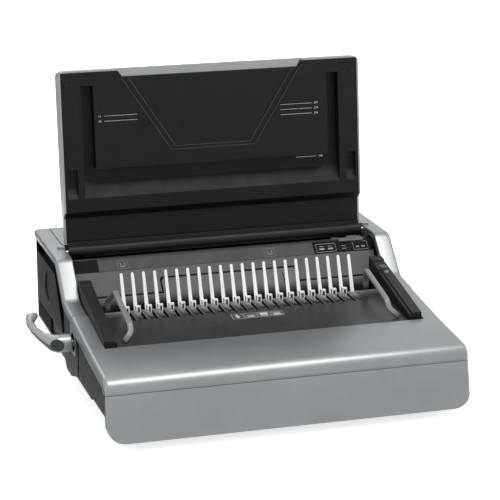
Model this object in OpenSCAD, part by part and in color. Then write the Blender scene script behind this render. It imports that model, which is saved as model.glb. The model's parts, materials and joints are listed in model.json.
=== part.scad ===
/* [Housing] */
// Overall width of the housing, without the comb lever
body_w = 448; // [444:1:560]
// Depth from the front seam to the rear face
rear_y = 438.8; // [430:0.2:560]
// Width of each side arm beside the binding well
arm_w = 22; // [18:0.5:28]
// Wall of the moulded covers
wall = 2.6; // [2:0.1:3]
// Radius of the rear corners of the housing, seen from above
corner_r = 16; // [8:1:20]
// Radius of the rounded outer edge of the front cover and drawer front
edge_r = 5.5; // [4:0.5:10]
// Radius of the rounded outer edge of the arm covers
arm_edge_r = 4; // [3:0.5:7]
// Height of the underside above the table
floor_gap = 11.3; // [9:0.1:16]
// How far the foot of the drawer front leans forward of the seam
front_lean = 11.5; // [4:0.5:16]
// Radius of the lower corners of the drawer front
drawer_corner_r = 22; // [10:1:26]
// Height of the lower edge of the side panels
skirt_z = 39.5; // [30:0.5:44]

/* [Top profile] */
// Height of the seam between drawer front and top cover
seam_z = 67.6; // [64:0.2:72]
// Radius of the curve above the seam
curve_r = 18.2; // [15:0.2:22]
// Front edge of the binding well, back from the seam
well_y = 96; // [80:1:110]
// Height of the cover at the front edge of the well
well_z = 92.7; // [90:0.1:100]
// Joint between the front cover and the arm covers
joint_y = 196; // [180:1:215]
// Foot of the steep face of each arm
knee_y = 235.4; // [225:0.2:245]
// Height of the arm at that foot
knee_z = 109.7; // [106:0.1:120]
// Top of the steep face of each arm
crest_y = 281.2; // [275:0.2:300]
// Height of the flat rear top
plateau_z = 154.9; // [150:0.1:190]

/* [Lid] */
// Height of the hinge axis below the rear top
hinge_drop = 4.6; // [4:0.1:6]
// Distance of the hinge axis behind the crest of the arms
hinge_back = 44.8; // [40:0.2:60]
// Radius of the hinge barrel
barrel_r = 8; // [6:0.1:8]
// Length of the lid from the hinge axis to its free edge
lid_h = 231.6; // [200:0.2:260]
// Thickness of the lid
lid_t = 23; // [20:0.5:28]
// Lean of the open lid behind upright, in degrees
lid_lean = 5.3; // [0:0.1:12]
// Gap between the lid and each arm
lid_gap = 1.5; // [1:0.1:3]

/* [Comb fingers] */
// Spacing of the holes and fingers, nine sixteenths of an inch
pitch = 14.2875; // [14.2875]
// Number of fingers
finger_count = 22; // [16:1:22]
// Height of the finger tips
finger_tip_z = 143.2; // [130:0.2:146]
// Distance of the finger tips behind the seam
finger_tip_y = 234.2; // [225:0.2:240]
// Backward lean of the fingers, in degrees
finger_lean = 21; // [10:0.5:25]
// Travel of the opening hooks
hook_travel = 28; // [20:1:30]

/* [Punch] */
// Width of one punched hole
hole_w = 8; // [7:0.1:8.5]
// Height of one punched hole
hole_h = 3; // [2.5:0.1:3.5]
// Stroke of the punch bar
punch_stroke = 12; // [11:0.1:12.5]
// Opening of the paper slot
paper_gap = 5; // [3:0.1:5]
// Distance of the paper slot behind the crest of the arms
slot_back = 18; // [17:0.1:19]

/* [Moving parts] */
// Pitch radius of the pinion under the comb rack
pinion_r = 12; // [12]
// Radius of the lever hub
hub_r = 11.5; // [9:0.1:12]
// How far the lever tip stands out beside the housing
lever_reach = 49.7; // [40:0.1:60]
// Running clearance of a shaft in its bore
run_clear = 0.05; // [0.03:0.01:0.1]
// Gap between neighbouring pieces that move or lift
part_gap = 0.4; // [0.3:0.05:0.6]

/* [Hidden] */
$fn = 96;
eps = 0.01;

half_w = body_w / 2;
well_x = half_w - arm_w;                 // half width of the binding well
frame_x = well_x + wall + 2;             // inner face of the side frames
frame_t = 2;
panel_x = half_w - 2;                    // outer face of the side panels
panel_t = 2.5;
plateau_under = plateau_z - wall;

// The housing is drawn about its middle, with the front seam at y = 0 and the table at z = 0.
// home moves it so that the middle of the whole outline, lever included, is the origin.
home = [lever_reach / 2, (front_lean - rear_y) / 2, 0];

hinge_y = crest_y + hinge_back;
hinge_z = plateau_z - hinge_drop;

// ---------- helpers ----------
function unit(v) = v / norm(v);
function left_of(a, b) = let(d = unit(b - a)) [-d[1], d[0]];
function flip(p) = [for (i = [len(p) - 1:-1:0]) p[i]];
// point i of path p, moved sideways by d with mitred corners
function moved(p, i, d) =
    i == 0 ? p[0] + d * left_of(p[0], p[1]) :
    i == len(p) - 1 ? p[i] + d * left_of(p[i - 1], p[i]) :
    let(n1 = left_of(p[i - 1], p[i]), m = unit(n1 + left_of(p[i], p[i + 1]))) p[i] + d / (m * n1) * m;
function shifted(p, d) = [for (i = [0:len(p) - 1]) moved(p, i, d)];
// strip of the given depth below a path
function band(p, depth) = concat(p, flip(shifted(p, -depth)));
// height on the straight line from a to b
function on_line(a, b, y) = a[1] + (b[1] - a[1]) * (y - a[0]) / (b[0] - a[0]);

module along_x(x0, x1) {
    translate([x0, 0, 0]) rotate([90, 0, 90]) linear_extrude(x1 - x0) children();
}
module along_y(y0, y1) {
    translate([0, y1, 0]) rotate([90, 0, 0]) linear_extrude(y1 - y0) children();
}
module box(lo, hi) {
    translate(lo) cube(hi - lo);
}
// box from lo to hi, and its mirror image on the other side
module both(lo, hi) {
    box(lo, hi);
    mirror([1, 0, 0]) box(lo, hi);
}
module rod_x(x0, x1, r, y, z) {
    translate([x0, y, z]) rotate([0, 90, 0]) cylinder(h = x1 - x0, r = r);
}
module rod_y(y0, y1, r, x, z) {
    translate([x, y0, z]) rotate([-90, 0, 0]) cylinder(h = y1 - y0, r = r);
}
module rod_z(z0, z1, r, x, y) {
    translate([x, y, z0]) cylinder(h = z1 - z0, r = r);
}
// plan of the housing with rounded rear corners
module rounded_plan(x, y0, y1, r) {
    translate([-x, y0]) square([2 * x, y1 - y0 - r]);
    translate([-x + r, y0]) square([2 * x - 2 * r, y1 - y0]);
    for (s = [-1, 1]) translate([s * (x - r), y1 - r]) circle(r);
}
// points on an arc about c, from angle a0 to a1
function arc(c, r, a0, a1) = [for (t = [0:0.2:1]) let(a = a0 + (a1 - a0) * t) c + r * [cos(a), sin(a)]];
// cross-section of a cover, its top at height 0, with upper corners of radius r0 and r1
function section(x0, x1, depth, r0, r1) = concat(
    [[x0, -depth]], arc([x0 + r0, -r0], r0, 180, 90), arc([x1 - r1, -r1], r1, 90, 0), [[x1, -depth]]);
// sweeps a cross-section along a path of (y, z) points, mitred at each point
module sweep(path, outline) {
    n = len(outline);
    rings = len(path) - 1;
    points = [for (i = [0:rings], s = outline) let(p = moved(path, i, s[1])) [s[0], p[0], p[1]]];
    sides = [for (i = [0:rings - 1], j = [0:n - 1]) let(k = (j + 1) % n)
        [i * n + j, (i + 1) * n + j, (i + 1) * n + k, i * n + k]];
    ends = [[for (j = [0:n - 1]) j], [for (j = [n - 1:-1:0]) rings * n + j]];
    polyhedron(points, concat(sides, ends));
}
// softens corner b of a path with a short curve
function soft(a, b, c, d) = let(p = b + d * unit(a - b), q = b + d * unit(c - b))
    [for (t = [0:0.2:1]) (1 - t) * (1 - t) * p + 2 * t * (1 - t) * b + t * t * q];
module rounded_box(lo, hi, r) {
    translate([0, 0, lo[2]]) linear_extrude(hi[2] - lo[2]) {
        translate([lo[0] + r, lo[1]]) square([hi[0] - lo[0] - 2 * r, hi[1] - lo[1]]);
        translate([lo[0], lo[1] + r]) square([hi[0] - lo[0], hi[1] - lo[1] - 2 * r]);
        for (x = [lo[0] + r, hi[0] - r], y = [lo[1] + r, hi[1] - r]) translate([x, y]) circle(r);
    }
}

// Gear outline with stub involute teeth. One tooth points along angle aim.
pressure = 25;
tooth_play = 0.16;
function involute(a) = tan(a) * 180 / PI - a;
function tooth_angle(m, z, r) =
    let(rp = m * z / 2, rb = rp * cos(pressure), a = acos(min(1, rb / max(r, rb))))
    90 / z - tooth_play / rp * 180 / PI + involute(pressure) - involute(a);
module gear_outline(m, z, aim) {
    rp = m * z / 2;
    radii = [for (k = [0:4]) rp - 1.05 * m + k * 1.85 * m / 4];
    polygon([for (i = [0:z - 1], k = [0:9])
        let(up = k < 5, r = radii[up ? k : 9 - k], side = up ? -1 : 1)
        r * [cos(aim + i * 360 / z + side * tooth_angle(m, z, r)),
             sin(aim + i * 360 / z + side * tooth_angle(m, z, r))]]);
}

// ---------- silver covers ----------
well_pt = [well_y, well_z];
knee_pt = [knee_y, knee_z];
crest_pt = [crest_y, plateau_z];
rear_pt = [rear_y, plateau_z];
joint_pt = [joint_y, on_line(well_pt, knee_pt, joint_y)];
seam_gap = 0.5;
front_lip = 12;                          // depth of the front cover's side lip
arm_lip = 7;                             // depth of the arm covers' lips
front_end = joint_pt - 0.3 * unit(joint_pt - well_pt);
// The nose turns from upright at the seam into the line of the slope.
nose_centre = [curve_r, seam_z];
to_well = well_pt - nose_centre;
slope_angle = atan2(to_well[1], to_well[0]) - asin(curve_r / norm(to_well));
nose_steps = 8;
nose_step = (90 - slope_angle) / nose_steps;
nose = [for (i = [0.5:nose_steps - 0.5]) let(a = 180 - i * nose_step)
    nose_centre + curve_r / cos(nose_step / 2) * [cos(a), sin(a)]];
nose_end = nose_centre + curve_r * [-sin(slope_angle), cos(slope_angle)];
lip_path = shifted([nose_end, well_pt, front_end], -front_lip);

// what lies outside the rounded rear corner, seen from above
module corner_waste(inset) {
    linear_extrude(plateau_z * 2) difference() {
        translate([-half_w - 2, rear_y - corner_r]) square([corner_r + 2, corner_r + 2]);
        translate([-half_w + corner_r, rear_y - corner_r]) circle(corner_r - inset);
    }
}
// top cover in front: the nose, then the slope. A cavity runs out past both ends.
module front_form(inset, depth) {
    r = edge_r - inset;
    past = inset > 0 ? 4 : 0;
    path = concat([[0, seam_z - past]], nose, [well_pt, front_end + past * unit(joint_pt - well_pt)]);
    sweep(shifted(path, -inset), section(-half_w + inset, half_w - inset, depth, r, r));
}
module front_cover() {
    skirt = well_z - front_lip - 1;
    color("silver") {
        difference() {
            front_form(0, front_lip);
            front_form(wall, front_lip - wall + 0.5);
            box([-well_x, well_y, 0], [well_x, joint_y + 9, plateau_z]);
        }
        // skirts round the well
        box([-well_x - wall, well_y - wall, skirt], [well_x + wall, well_y, well_z - 1]);
        for (m = [0, 1]) mirror([m, 0, 0]) along_x(-well_x - wall, -well_x)
            polygon(band(shifted([well_pt, front_end], -1), front_lip));
    }
}

arm_bend = 7;                            // how far the bends at knee and crest reach along each face
arm_path = concat([joint_pt], soft(joint_pt, knee_pt, crest_pt, arm_bend),
    soft(knee_pt, crest_pt, rear_pt, arm_bend), [rear_pt]);
pin_r = 2.5;
pin_seat_x = well_x + 10;

rear_edge_r = 4;
// what lies outside the rounded rear edge of the top, seen from the side
module rear_waste(inset) {
    along_x(-half_w - 2, half_w + 2) difference() {
        translate([rear_y - rear_edge_r, plateau_z - rear_edge_r]) square(rear_edge_r + 2);
        translate([rear_y - rear_edge_r, plateau_z - rear_edge_r]) circle(rear_edge_r - inset);
    }
}
// left arm cover; the right one is its mirror image
module arm_cover() {
    color("silver") difference() {
        union() {
            difference() {
                sweep(arm_path, section(-half_w, -well_x, arm_lip, arm_edge_r, 1.5));
                corner_waste(0);
                rear_waste(0);
                difference() {
                    sweep(shifted(concat([joint_pt - 4 * unit(knee_pt - joint_pt)], arm_path), -wall),
                        section(-half_w + wall, -well_x - wall, arm_lip, arm_edge_r - wall, 0.5));
                    corner_waste(wall);
                    rear_waste(wall);
                    box([-half_w - 1, rear_y - wall, 0], [half_w + 1, rear_y + 1, plateau_z]);
                }
            }
            box([-pin_seat_x, hinge_y - 8, hinge_z - 9], [-well_x, hinge_y + 8, plateau_z - 1]);
            // small cap over the end of the hinge pin
            box([-pin_seat_x + 1, hinge_y + 1, plateau_z - 1], [-well_x, hinge_y + 9, plateau_z + 2.2]);
        }
        rod_x(-pin_seat_x - eps, -well_x + eps, pin_r + run_clear, hinge_y, hinge_z);
    }
}
module arm_cover_left() {
    arm_cover();
}
module arm_cover_right() {
    mirror([1, 0, 0]) arm_cover();
}

deck_front_y = hinge_y + 20;             // front edge of the rear deck, behind the lid
module rear_deck_cover() {
    x = well_x - 0.3;
    color("silver") difference() {
        box([-x, deck_front_y, plateau_z - arm_lip], [x, rear_y, plateau_z]);
        rear_waste(0);
        difference() {
            box([-x - 1, deck_front_y + wall, 0], [x + 1, rear_y - wall, plateau_under]);
            rear_waste(wall);
        }
    }
}

rear_wrap_y = rear_y - corner_r - 3;     // where the rear cover meets the side panels
inlet_x = -150;
inlet_z = 46;
inlet_w = 22;
inlet_h = 14;
switch_x = -105;
switch_w = 22;
switch_h = 17;

module rear_cover() {
    top = plateau_z - arm_lip - seam_gap;
    color([0.2, 0.2, 0.21]) difference() {
        intersection() {
            linear_extrude(plateau_z) rounded_plan(panel_x, 0, rear_y - 1, corner_r - 1);
            box([-half_w, rear_wrap_y, skirt_z - 2], [half_w, rear_y, top]);
        }
        translate([0, 0, -1]) linear_extrude(plateau_z * 2)
            rounded_plan(panel_x - panel_t, -1, rear_y - 1 - panel_t, corner_r - 1 - panel_t);
        // vent slots behind the motor and the transformer
        for (x0 = [-70, 95], i = [0:9], j = [0:1])
            box([x0 + i * 9, rear_y - 6, 92 + j * 22], [x0 + i * 9 + 4, rear_y + 1, 108 + j * 22]);
        box([inlet_x - inlet_w / 2, rear_y - 6, inlet_z - inlet_h / 2],
            [inlet_x + inlet_w / 2, rear_y + 1, inlet_z + inlet_h / 2]);
        box([switch_x - switch_w / 2, rear_y - 6, inlet_z - switch_h / 2],
            [switch_x + switch_w / 2, rear_y + 1, inlet_z + switch_h / 2]);
        for (x = screw_x, z = screw_z) rod_y(rear_y - 6, rear_y + 1, screw_r + 1.1, x, z);
    }
}

// ---------- dark side panels ----------
housing_end = knee_y + 5.5;               // rear edge of the black lever housing
shoulder_z = plateau_z - 25;             // top edge of the rear side panel
belt_z = 66;                             // lower edge of the rear side panel
housing_y = 158;                         // front edge of the black lever housing
hub_y = 182;
hub_z = 76;
// lines just below the lips of the front cover and of the arm covers
function below_front(y) = on_line(lip_path[1], lip_path[2], y) - seam_gap;
function below_arm(y) = on_line(joint_pt, knee_pt, y) - arm_lip - 1;
// step from one line to the other
lip_step = [[joint_y + 2, below_front(joint_y + 2)], [joint_y + 3.5, below_arm(joint_y + 3.5)]];

module front_side_panel(outline) {
    color([0.3, 0.3, 0.31]) along_x(-panel_x, -panel_x + panel_t) polygon(concat(
        [[3, skirt_z], [3, seam_z - 1], [curve_r - 5, seam_z - 1], lip_path[0] + [1, -seam_gap],
            lip_path[1] + [0, -seam_gap]], outline));
}
module front_side_panel_left() {
    y = housing_y - seam_gap;
    front_side_panel([[y, below_front(y)], [y, skirt_z]]);
}
module front_side_panel_right() {
    mirror([1, 0, 0]) front_side_panel([lip_step[0], lip_step[1], [knee_y, below_arm(knee_y)],
        [housing_end, below_arm(knee_y) + 3], [housing_end, skirt_z]]);
}

plug_y = 347;
plug_z = 99.8;
plug_r = 19.5;
module rear_side_panel() {
    color([0.3, 0.3, 0.31]) difference() {
        along_x(-panel_x, -panel_x + panel_t) polygon([
            [knee_y + 21, belt_z], [crest_y + 18, shoulder_z], [rear_wrap_y - seam_gap, shoulder_z],
            [rear_wrap_y - seam_gap, belt_z]]);
        rod_x(-panel_x - 1, -panel_x + panel_t + 1, plug_r + 0.3, plug_y, plug_z);
    }
}
module rear_side_panel_left() {
    rear_side_panel();
}
module rear_side_panel_right() {
    mirror([1, 0, 0]) rear_side_panel();
}
module side_plugs() {
    color([0.22, 0.22, 0.23]) for (m = [0, 1]) mirror([m, 0, 0]) difference() {
        rod_x(-panel_x + 0.6, -panel_x + panel_t + 1.5, plug_r, plug_y, plug_z);
        rod_x(-panel_x, -panel_x + 1.4, plug_r - 2.5, plug_y, plug_z);
    }
}

louvre_count = 9;
module louvre() {
    y0 = housing_end + seam_gap;
    y1 = rear_wrap_y - seam_gap;
    top = belt_z - seam_gap;
    color([0.06, 0.06, 0.065]) difference() {
        union() {
            box([-panel_x + 3, y0, skirt_z], [-panel_x + 5.5, y1, top]);
            for (y = [y0, y1 - 2.5]) box([-panel_x + 0.3, y, skirt_z], [-panel_x + 3.5, y + 2.5, top]);
            for (z = [skirt_z, top - 2.5]) box([-panel_x + 0.3, y0, z], [-panel_x + 3.5, y1, z + 2.5]);
            for (i = [0:louvre_count]) box([-panel_x + 0.6, y1 - 8 - i * 8, skirt_z + 1],
                [-panel_x + 3.5, y1 - 5.5 - i * 8, top - 1]);
        }
        for (i = [0:louvre_count - 1]) box([-panel_x, y1 - 12.5 - i * 8, skirt_z + 5],
            [-panel_x + 6, y1 - 9 - i * 8, top - 5]);
    }
}
module louvre_left() {
    louvre();
}
module louvre_right() {
    mirror([1, 0, 0]) louvre();
}

// black hollow under the edge of the flat top, where the fingers lift the machine
module carry_grips() {
    y1 = rear_wrap_y + 3;
    low = shoulder_z - 4;
    high = plateau_z - arm_lip - 1;
    color([0.08, 0.08, 0.085]) for (m = [0, 1]) mirror([m, 0, 0]) {
        along_x(-panel_x + 8, -panel_x + 10) polygon([[housing_end + 1, belt_z + 2],
            [housing_end + 1, knee_z - 4], [crest_y + 3, high], [y1, high], [y1, low], [crest_y + 14, low],
            [knee_y + 24, belt_z + 2]]);
        box([-panel_x + panel_t + 0.5, crest_y + 20, low], [-panel_x + 8, y1, low + 2.5]);
    }
}

housing_x = panel_x - 11;                // inner face of the lever housing
module lever_housing() {
    foot = 26;
    r = 15;
    top = [[housing_end, knee_z - 5], [knee_y, below_arm(knee_y)], lip_step[1], lip_step[0],
        [housing_y, below_front(housing_y)]];
    color([0.07, 0.07, 0.075]) difference() {
        along_x(-panel_x - 0.6, -housing_x) {
            polygon(concat(top, [[housing_y, skirt_z - 1], [housing_y + 44, foot], [housing_end - r, foot],
                [housing_end - r, foot + r], [housing_end, foot + r]]));
            translate([housing_end - r, foot + r]) circle(r);
        }
        rod_x(-panel_x - 2, -housing_x + 1, hub_r + 0.6, hub_y, hub_z);
        // hollow inside
        box([-panel_x + 2, housing_y + 3, skirt_z + 3],
            [-housing_x + 1, hub_y - 16, below_front(housing_y) - 3]);
        box([-panel_x + 2, hub_y + 16, skirt_z], [-housing_x + 1, housing_end - 3, below_front(joint_y) - 3]);
    }
}

// silver plate round the hub, flush below the front cover
module lever_escutcheon() {
    y0 = hub_y - hub_r - 3;
    y1 = hub_y + hub_r + 4;
    z0 = hub_z - hub_r - 3.5;
    x0 = -half_w;
    x1 = -panel_x - 0.6;
    r = 4;
    color("silver") difference() {
        along_x(x0, x1) polygon([[y0, below_front(y0)], [joint_y - 1, below_front(joint_y - 1)],
            [y1, below_front(joint_y - 1)], [y1, z0 + r], [y1 - r * 0.3, z0 + r * 0.3], [y1 - r, z0],
            [y0 + r, z0], [y0 + r * 0.3, z0 + r * 0.3], [y0, z0 + r]]);
        rod_x(x0 - 1, x1 + 1, hub_r + 0.6, hub_y, hub_z);
    }
}

// ---------- base, frames and feet ----------
base_x = well_x + 2;
base_t = 2.5;
base_z = floor_gap - 3;                  // underside of the base tray
base_top = base_z + base_t;
base_y0 = 8;
base_y1 = rear_y - 8;
tray_x = 187;                            // half width of the drawer tray
tray_z = base_top + 2.2;

module base_tray() {
    color([0.1, 0.1, 0.105]) difference() {
        union() {
            box([-base_x, base_y0, base_z], [base_x, base_y1, base_top]);
            both([base_x - 2.5, base_y0 + 8, base_z], [base_x, base_y1, skirt_z]);
            box([-base_x, base_y1 - 2.5, base_z], [base_x, base_y1, skirt_z]);
            // flange under the side panels
            both([base_x - 1, base_y0 + 8, skirt_z - 3],
                [panel_x - 1, rear_wrap_y - seam_gap, skirt_z - 0.4]);
            // runners and side guides of the drawer
            both([tray_x - 8, base_y0 + 2, base_z + 1], [tray_x - 4, 320, tray_z - 0.3]);
            both([tray_x + 0.6, base_y0 + 2, base_z + 1], [tray_x + 3.1, 320, base_top + 16]);
            // bosses that take the feet
            for (x = foot_x, y = foot_y) rod_z(base_z - 1.5, base_z + 1, foot_r + 2, x, y);
        }
        // slots in the flange that seat the side frames, the lever housing and clear the motor pinion
        both([frame_x, frame_y0, skirt_z - 4], [frame_x + frame_t, frame_y1, skirt_z]);
        box([-panel_x, housing_y - seam_gap, skirt_z - 4], [-housing_x, housing_end + seam_gap, skirt_z]);
        box([outer_x[0] - 1, motor_y - 14, skirt_z - 4], [panel_x, motor_y + 14, skirt_z]);
        box([base_x - 3, motor_y - 5, motor_z - 5], [outer_x[0], motor_y + 5, skirt_z + 1]);
        // notches in the rear wall under the power inlet and the switch
        box([inlet_x - inlet_w / 2, base_y1 - 3, inlet_z - inlet_h / 2 + 0.3],
            [inlet_x + inlet_w / 2, base_y1 + 1, skirt_z + 1]);
        box([switch_x - switch_w / 2, base_y1 - 3, inlet_z - switch_h / 2 + 0.3],
            [switch_x + switch_w / 2, base_y1 + 1, skirt_z + 1]);
        // vent slots under the motor and transformer
        for (x0 = [-170, 110], i = [0:6])
            box([x0 + i * 9, 345, base_z - 1], [x0 + i * 9 + 4, 405, base_top + 1]);
    }
}

foot_r = 9;
foot_x = [-176, 176];
foot_y = [46, rear_y - 36];
module feet() {
    color([0.05, 0.05, 0.05]) for (x = foot_x, y = foot_y) {
        rod_z(0, 2, foot_r - 1, x, y);
        rod_z(2, base_z - 1.5, foot_r, x, y);
    }
}

frame_y0 = 150;
frame_y1 = rear_y - 24;
module side_frame_plate(x0, x1) {
    top = [[frame_y0, 84], [joint_y, joint_pt[1] - wall - 3], [knee_y, knee_z - wall - 4],
        [crest_y + 2, plateau_under - 2], [frame_y1, plateau_under - 2]];
    difference() {
        along_x(x0, x1) polygon(concat(top, [[frame_y1, base_top], [frame_y0, base_top]]));
        // window that saves weight, between the die and the lever
        along_x(x0 - 1, x1 + 1) translate([236, 40]) square([40, 34]);
        rod_x(x0 - 1, x1 + 1, cam_r + run_clear, cam_y, cam_z);
    }
}
module side_frame_left() {
    color("lightsteelblue") difference() {
        side_frame_plate(-frame_x - frame_t, -frame_x);
        rod_x(-frame_x - 3, -frame_x + 1, shaft_r + run_clear, hub_y, hub_z);
        box([-frame_x - 3, hinge_y - 9, hinge_z - 10], [-frame_x + 1, hinge_y + 9, plateau_z]);
    }
}
module side_frame_right() {
    color("lightsteelblue") difference() {
        side_frame_plate(frame_x, frame_x + frame_t);
        rod_x(frame_x - 1, frame_x + 3, idler_r + run_clear, idler_y, idler_z);
        rod_x(frame_x - 1, frame_x + 3, 7, motor_y, motor_z);
        box([frame_x - 1, hinge_y - 9, hinge_z - 10], [frame_x + 3, hinge_y + 9, plateau_z]);
    }
}

// ---------- binding well ----------
well_floor_z = 64;
rail_w = 16.2;
rail_x1 = well_x - 0.6;
rail_x0 = rail_x1 - rail_w;
cassette_x = rail_x0 - 0.8;
cassette_y0 = well_y + 5;
pinion_x = [-179, -171];
cassette_foot_z = hub_z + 8;

module well_floor() {
    color([0.12, 0.12, 0.125]) {
        difference() {
            box([-frame_x, well_y + 2, well_floor_z], [frame_x, knee_y + 20, well_floor_z + 2.5]);
            box([pinion_x[0] - 4, hub_y - 18, well_floor_z - 1],
                [pinion_x[1] + 8, hub_y + 18, well_floor_z + 4]);
        }
        for (x = [-150, 0, 150], y = [well_y + 10, knee_y]) box([x - 5, y, well_floor_z + 2],
            [x + 5, y + 6, cassette_foot_z - part_gap]);
    }
}

deck_foot = [finger_tip_y + 20.8, 108.7];
deck_rise = 0.85;
slot_y = crest_y + slot_back;            // front face of the paper slot
slot_front = slot_y + 0.3;
strip_top_z = deck_foot[1] + deck_rise * (slot_y - 2 - deck_foot[0]);
strip_foot_y = slot_y - 16;
function deck_z(y) = deck_foot[1] + deck_rise * (y - deck_foot[0]);
bay_x = 92;                              // half width of the raised middle of the cassette
bay_y = deck_foot[0] + 17;
deck_x = well_x - 0.6;

// upright block with round rear corners, for the notch and for what stands in it
module notch_plan(x, y1, top) {
    translate([0, 0, 80]) linear_extrude(top - 80) rounded_plan(x, deck_foot[0] - 3, y1, 5);
}
module deck_panel() {
    under = 3;
    color([0.4, 0.4, 0.41]) difference() {
        union() {
            along_x(-deck_x, deck_x) polygon([deck_foot, [strip_foot_y - 0.3, deck_z(strip_foot_y - 0.3)],
                [strip_foot_y + 1.6, deck_z(strip_foot_y - 0.3) - 2.2], deck_foot + [3, -1],
                deck_foot + [3, -12], deck_foot + [0, -12]]);
            along_x(-bay_x - 3, bay_x + 3) polygon([[bay_y, deck_z(bay_y)], [bay_y + 4, deck_z(bay_y + 4)],
                [bay_y + 4, deck_z(bay_y) - 14], [bay_y, deck_z(bay_y) - 14]]);
            both([bay_x, deck_foot[0] + 1, deck_foot[1] - 12], [bay_x + 3, bay_y + 3, deck_foot[1] + 1]);
        }
        notch_plan(bay_x, bay_y, 150);
    }
}

module slot_strip() {
    color([0.09, 0.09, 0.095]) along_x(-deck_x, deck_x) polygon([
        [strip_foot_y, deck_z(strip_foot_y)], [slot_y - 2, strip_top_z], [slot_front, strip_top_z],
        [slot_front, die_top], [slot_front - 2.4, die_top], [slot_front - 2.4, strip_top_z - 3.6],
        [strip_foot_y + 1.9, deck_z(strip_foot_y) - 2.1]]);
}

module paper_guide() {
    y0 = slot_front + paper_gap;
    color([0.09, 0.09, 0.095]) along_x(-deck_x, deck_x) polygon([
        [y0, die_top], [y0, strip_top_z - 4], [y0 + 3, strip_top_z - 0.5], [y0 + 6, strip_top_z - 0.5],
        [y0 + 6, die_top]]);
}

rail_front = [well_y + 7, 99.5];
rail_crest = [finger_tip_y - 4, 127.5];
rail_foot_z = well_floor_z + 2.5;
rail_split_y = 149.5;
module rail(y0, y1, cap) {
    top = concat([[y0, on_line(rail_front, rail_crest, y0)]],
        cap ? [rail_crest + [8, 1.2], rail_crest + [8.5, 3], [deck_foot[0] - 2, 132.4]]
            : [[y1, on_line(rail_front, rail_crest, y1)]]);
    color([0.16, 0.16, 0.165]) difference() {
        along_x(rail_x0, rail_x1) polygon(concat(top, [[y1, rail_foot_z], [y0, rail_foot_z]]));
        // stepped shoulder along the inner edge
        along_x(rail_x0 - 1, rail_x0 + 4) polygon([[y0 - 1, on_line(rail_front, rail_crest, y0) - 2.2],
            [rail_crest[0] - 14, on_line(rail_front, rail_crest, rail_crest[0] - 14) - 2.2],
            [rail_crest[0] - 14, 140], [y0 - 1, 140]]);
    }
}
module rail_left_rear() {
    difference() {
        mirror([1, 0, 0]) rail(rail_split_y + 0.3, deck_foot[0] - 2, true);
        rod_x(-rail_x1 - 1, -rail_x0 + 1, shaft_r + 0.5, hub_y, hub_z);
    }
}
module rail_left_front() {
    mirror([1, 0, 0]) rail(rail_front[0], rail_split_y - 0.3, false);
}
key_y = 224;
key_x = rail_x0 + 9;
lens_y = 210;
module rail_right() {
    difference() {
        rail(rail_front[0], deck_foot[0] - 2, true);
        box([key_x - 4.9, key_y - 5.9, 112], [key_x + 4.9, key_y + 5.9, 140]);
        rod_z(118, 140, 3, key_x, lens_y);
    }
}
module status_lens() {
    color([0.75, 0.8, 0.8]) rod_z(118, on_line(rail_front, rail_crest, lens_y) + 0.6, 2.8, key_x, lens_y);
}

// ---------- lift-off cassette ----------
trough_y = finger_tip_y - 12;
hook_dx = 3.7;                           // slots stand beside the fingers
hook_y = 208.6;                          // front face of the opening hooks at rest
slot_run = [hook_y - hook_travel - 4.1, hook_y + 6];
cassette_top = [[cassette_y0, 90.2], [slot_run[0], 98.2], [slot_run[1] + 1, 99], [trough_y, 97],
    [trough_y + 5, 92.5], [trough_y + 13, 91.5], [trough_y + 20, 95],
    [deck_foot[0] - 7, deck_z(deck_foot[0] - 7)], [deck_foot[0] - 2, deck_z(deck_foot[0] - 2)]];
bay_top = concat(cassette_top, [[bay_y - 2, deck_z(bay_y - 2)]]);
span = pitch * (finger_count - 1);
function finger_x(k) = -span / 2 + k * pitch;
shell_t = 2.4;
// centre line of a finger: distance back at height z
function finger_y(z) = finger_tip_y - (finger_tip_z - z) * tan(finger_lean);

// block under a top profile, and the hollow inside it
module cassette_block(x, top) {
    rear = top[len(top) - 1];
    along_x(-x, x) polygon(concat(top, [[rear[0], cassette_foot_z], [cassette_y0, cassette_foot_z]]));
}
module cassette_hollow(x, top) {
    rear = top[len(top) - 1];
    along_x(-x + shell_t, x - shell_t) polygon(concat(shifted(top, -shell_t),
        [[rear[0] + 1, cassette_foot_z - 1], [cassette_y0 + shell_t, cassette_foot_z - 1]]));
}
module cassette_body() {
    rib = [for (a = [0:22.5:180]) [3.4 * cos(a), 98.2 + 1.5 * sin(a)]];
    color([0.17, 0.17, 0.175]) difference() {
        union() {
            difference() {
                union() {
                    cassette_block(cassette_x, cassette_top);
                    intersection() {
                        cassette_block(bay_x - 2, bay_top);
                        notch_plan(bay_x - 2, bay_y - 2, 150);
                    }
                }
                cassette_hollow(cassette_x, cassette_top);
                cassette_hollow(bay_x - 2, bay_top);
            }
            // rounded ribs between the hook slots
            for (k = [0:finger_count - 1]) translate([finger_x(k) - 1.6, 0, 0])
                along_y(slot_run[0] + 4.5, slot_run[1] - 7.6) polygon(concat(rib, [[-3.4, 97], [3.4, 97]]));
            // posts that hold the finger comb up against the deck
            for (k = [1, floor(finger_count / 2), finger_count - 3])
                box([finger_x(k) + pitch / 2 - 3, slot_run[1] + 0.8, finger_base_z + 0.6],
                    [finger_x(k) + pitch / 2 + 3, trough_y - 1.2, 97]);
        }
        for (k = [0:finger_count - 2]) box([finger_x(k) + hook_dx - 1.7, slot_run[0], 94],
            [finger_x(k) + hook_dx + 1.7, slot_run[1], 102]);
        for (k = [0:finger_count - 1]) box([finger_x(k) - 3, finger_y(95) - 2.4, 90],
            [finger_x(k) + 3, finger_y(98) + 2.6, 101]);
        // thin slit in the raised middle
        box([70, deck_foot[0] - 6, 90], [71.2, bay_y - 6, deck_z(bay_y)]);
    }
}

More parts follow.
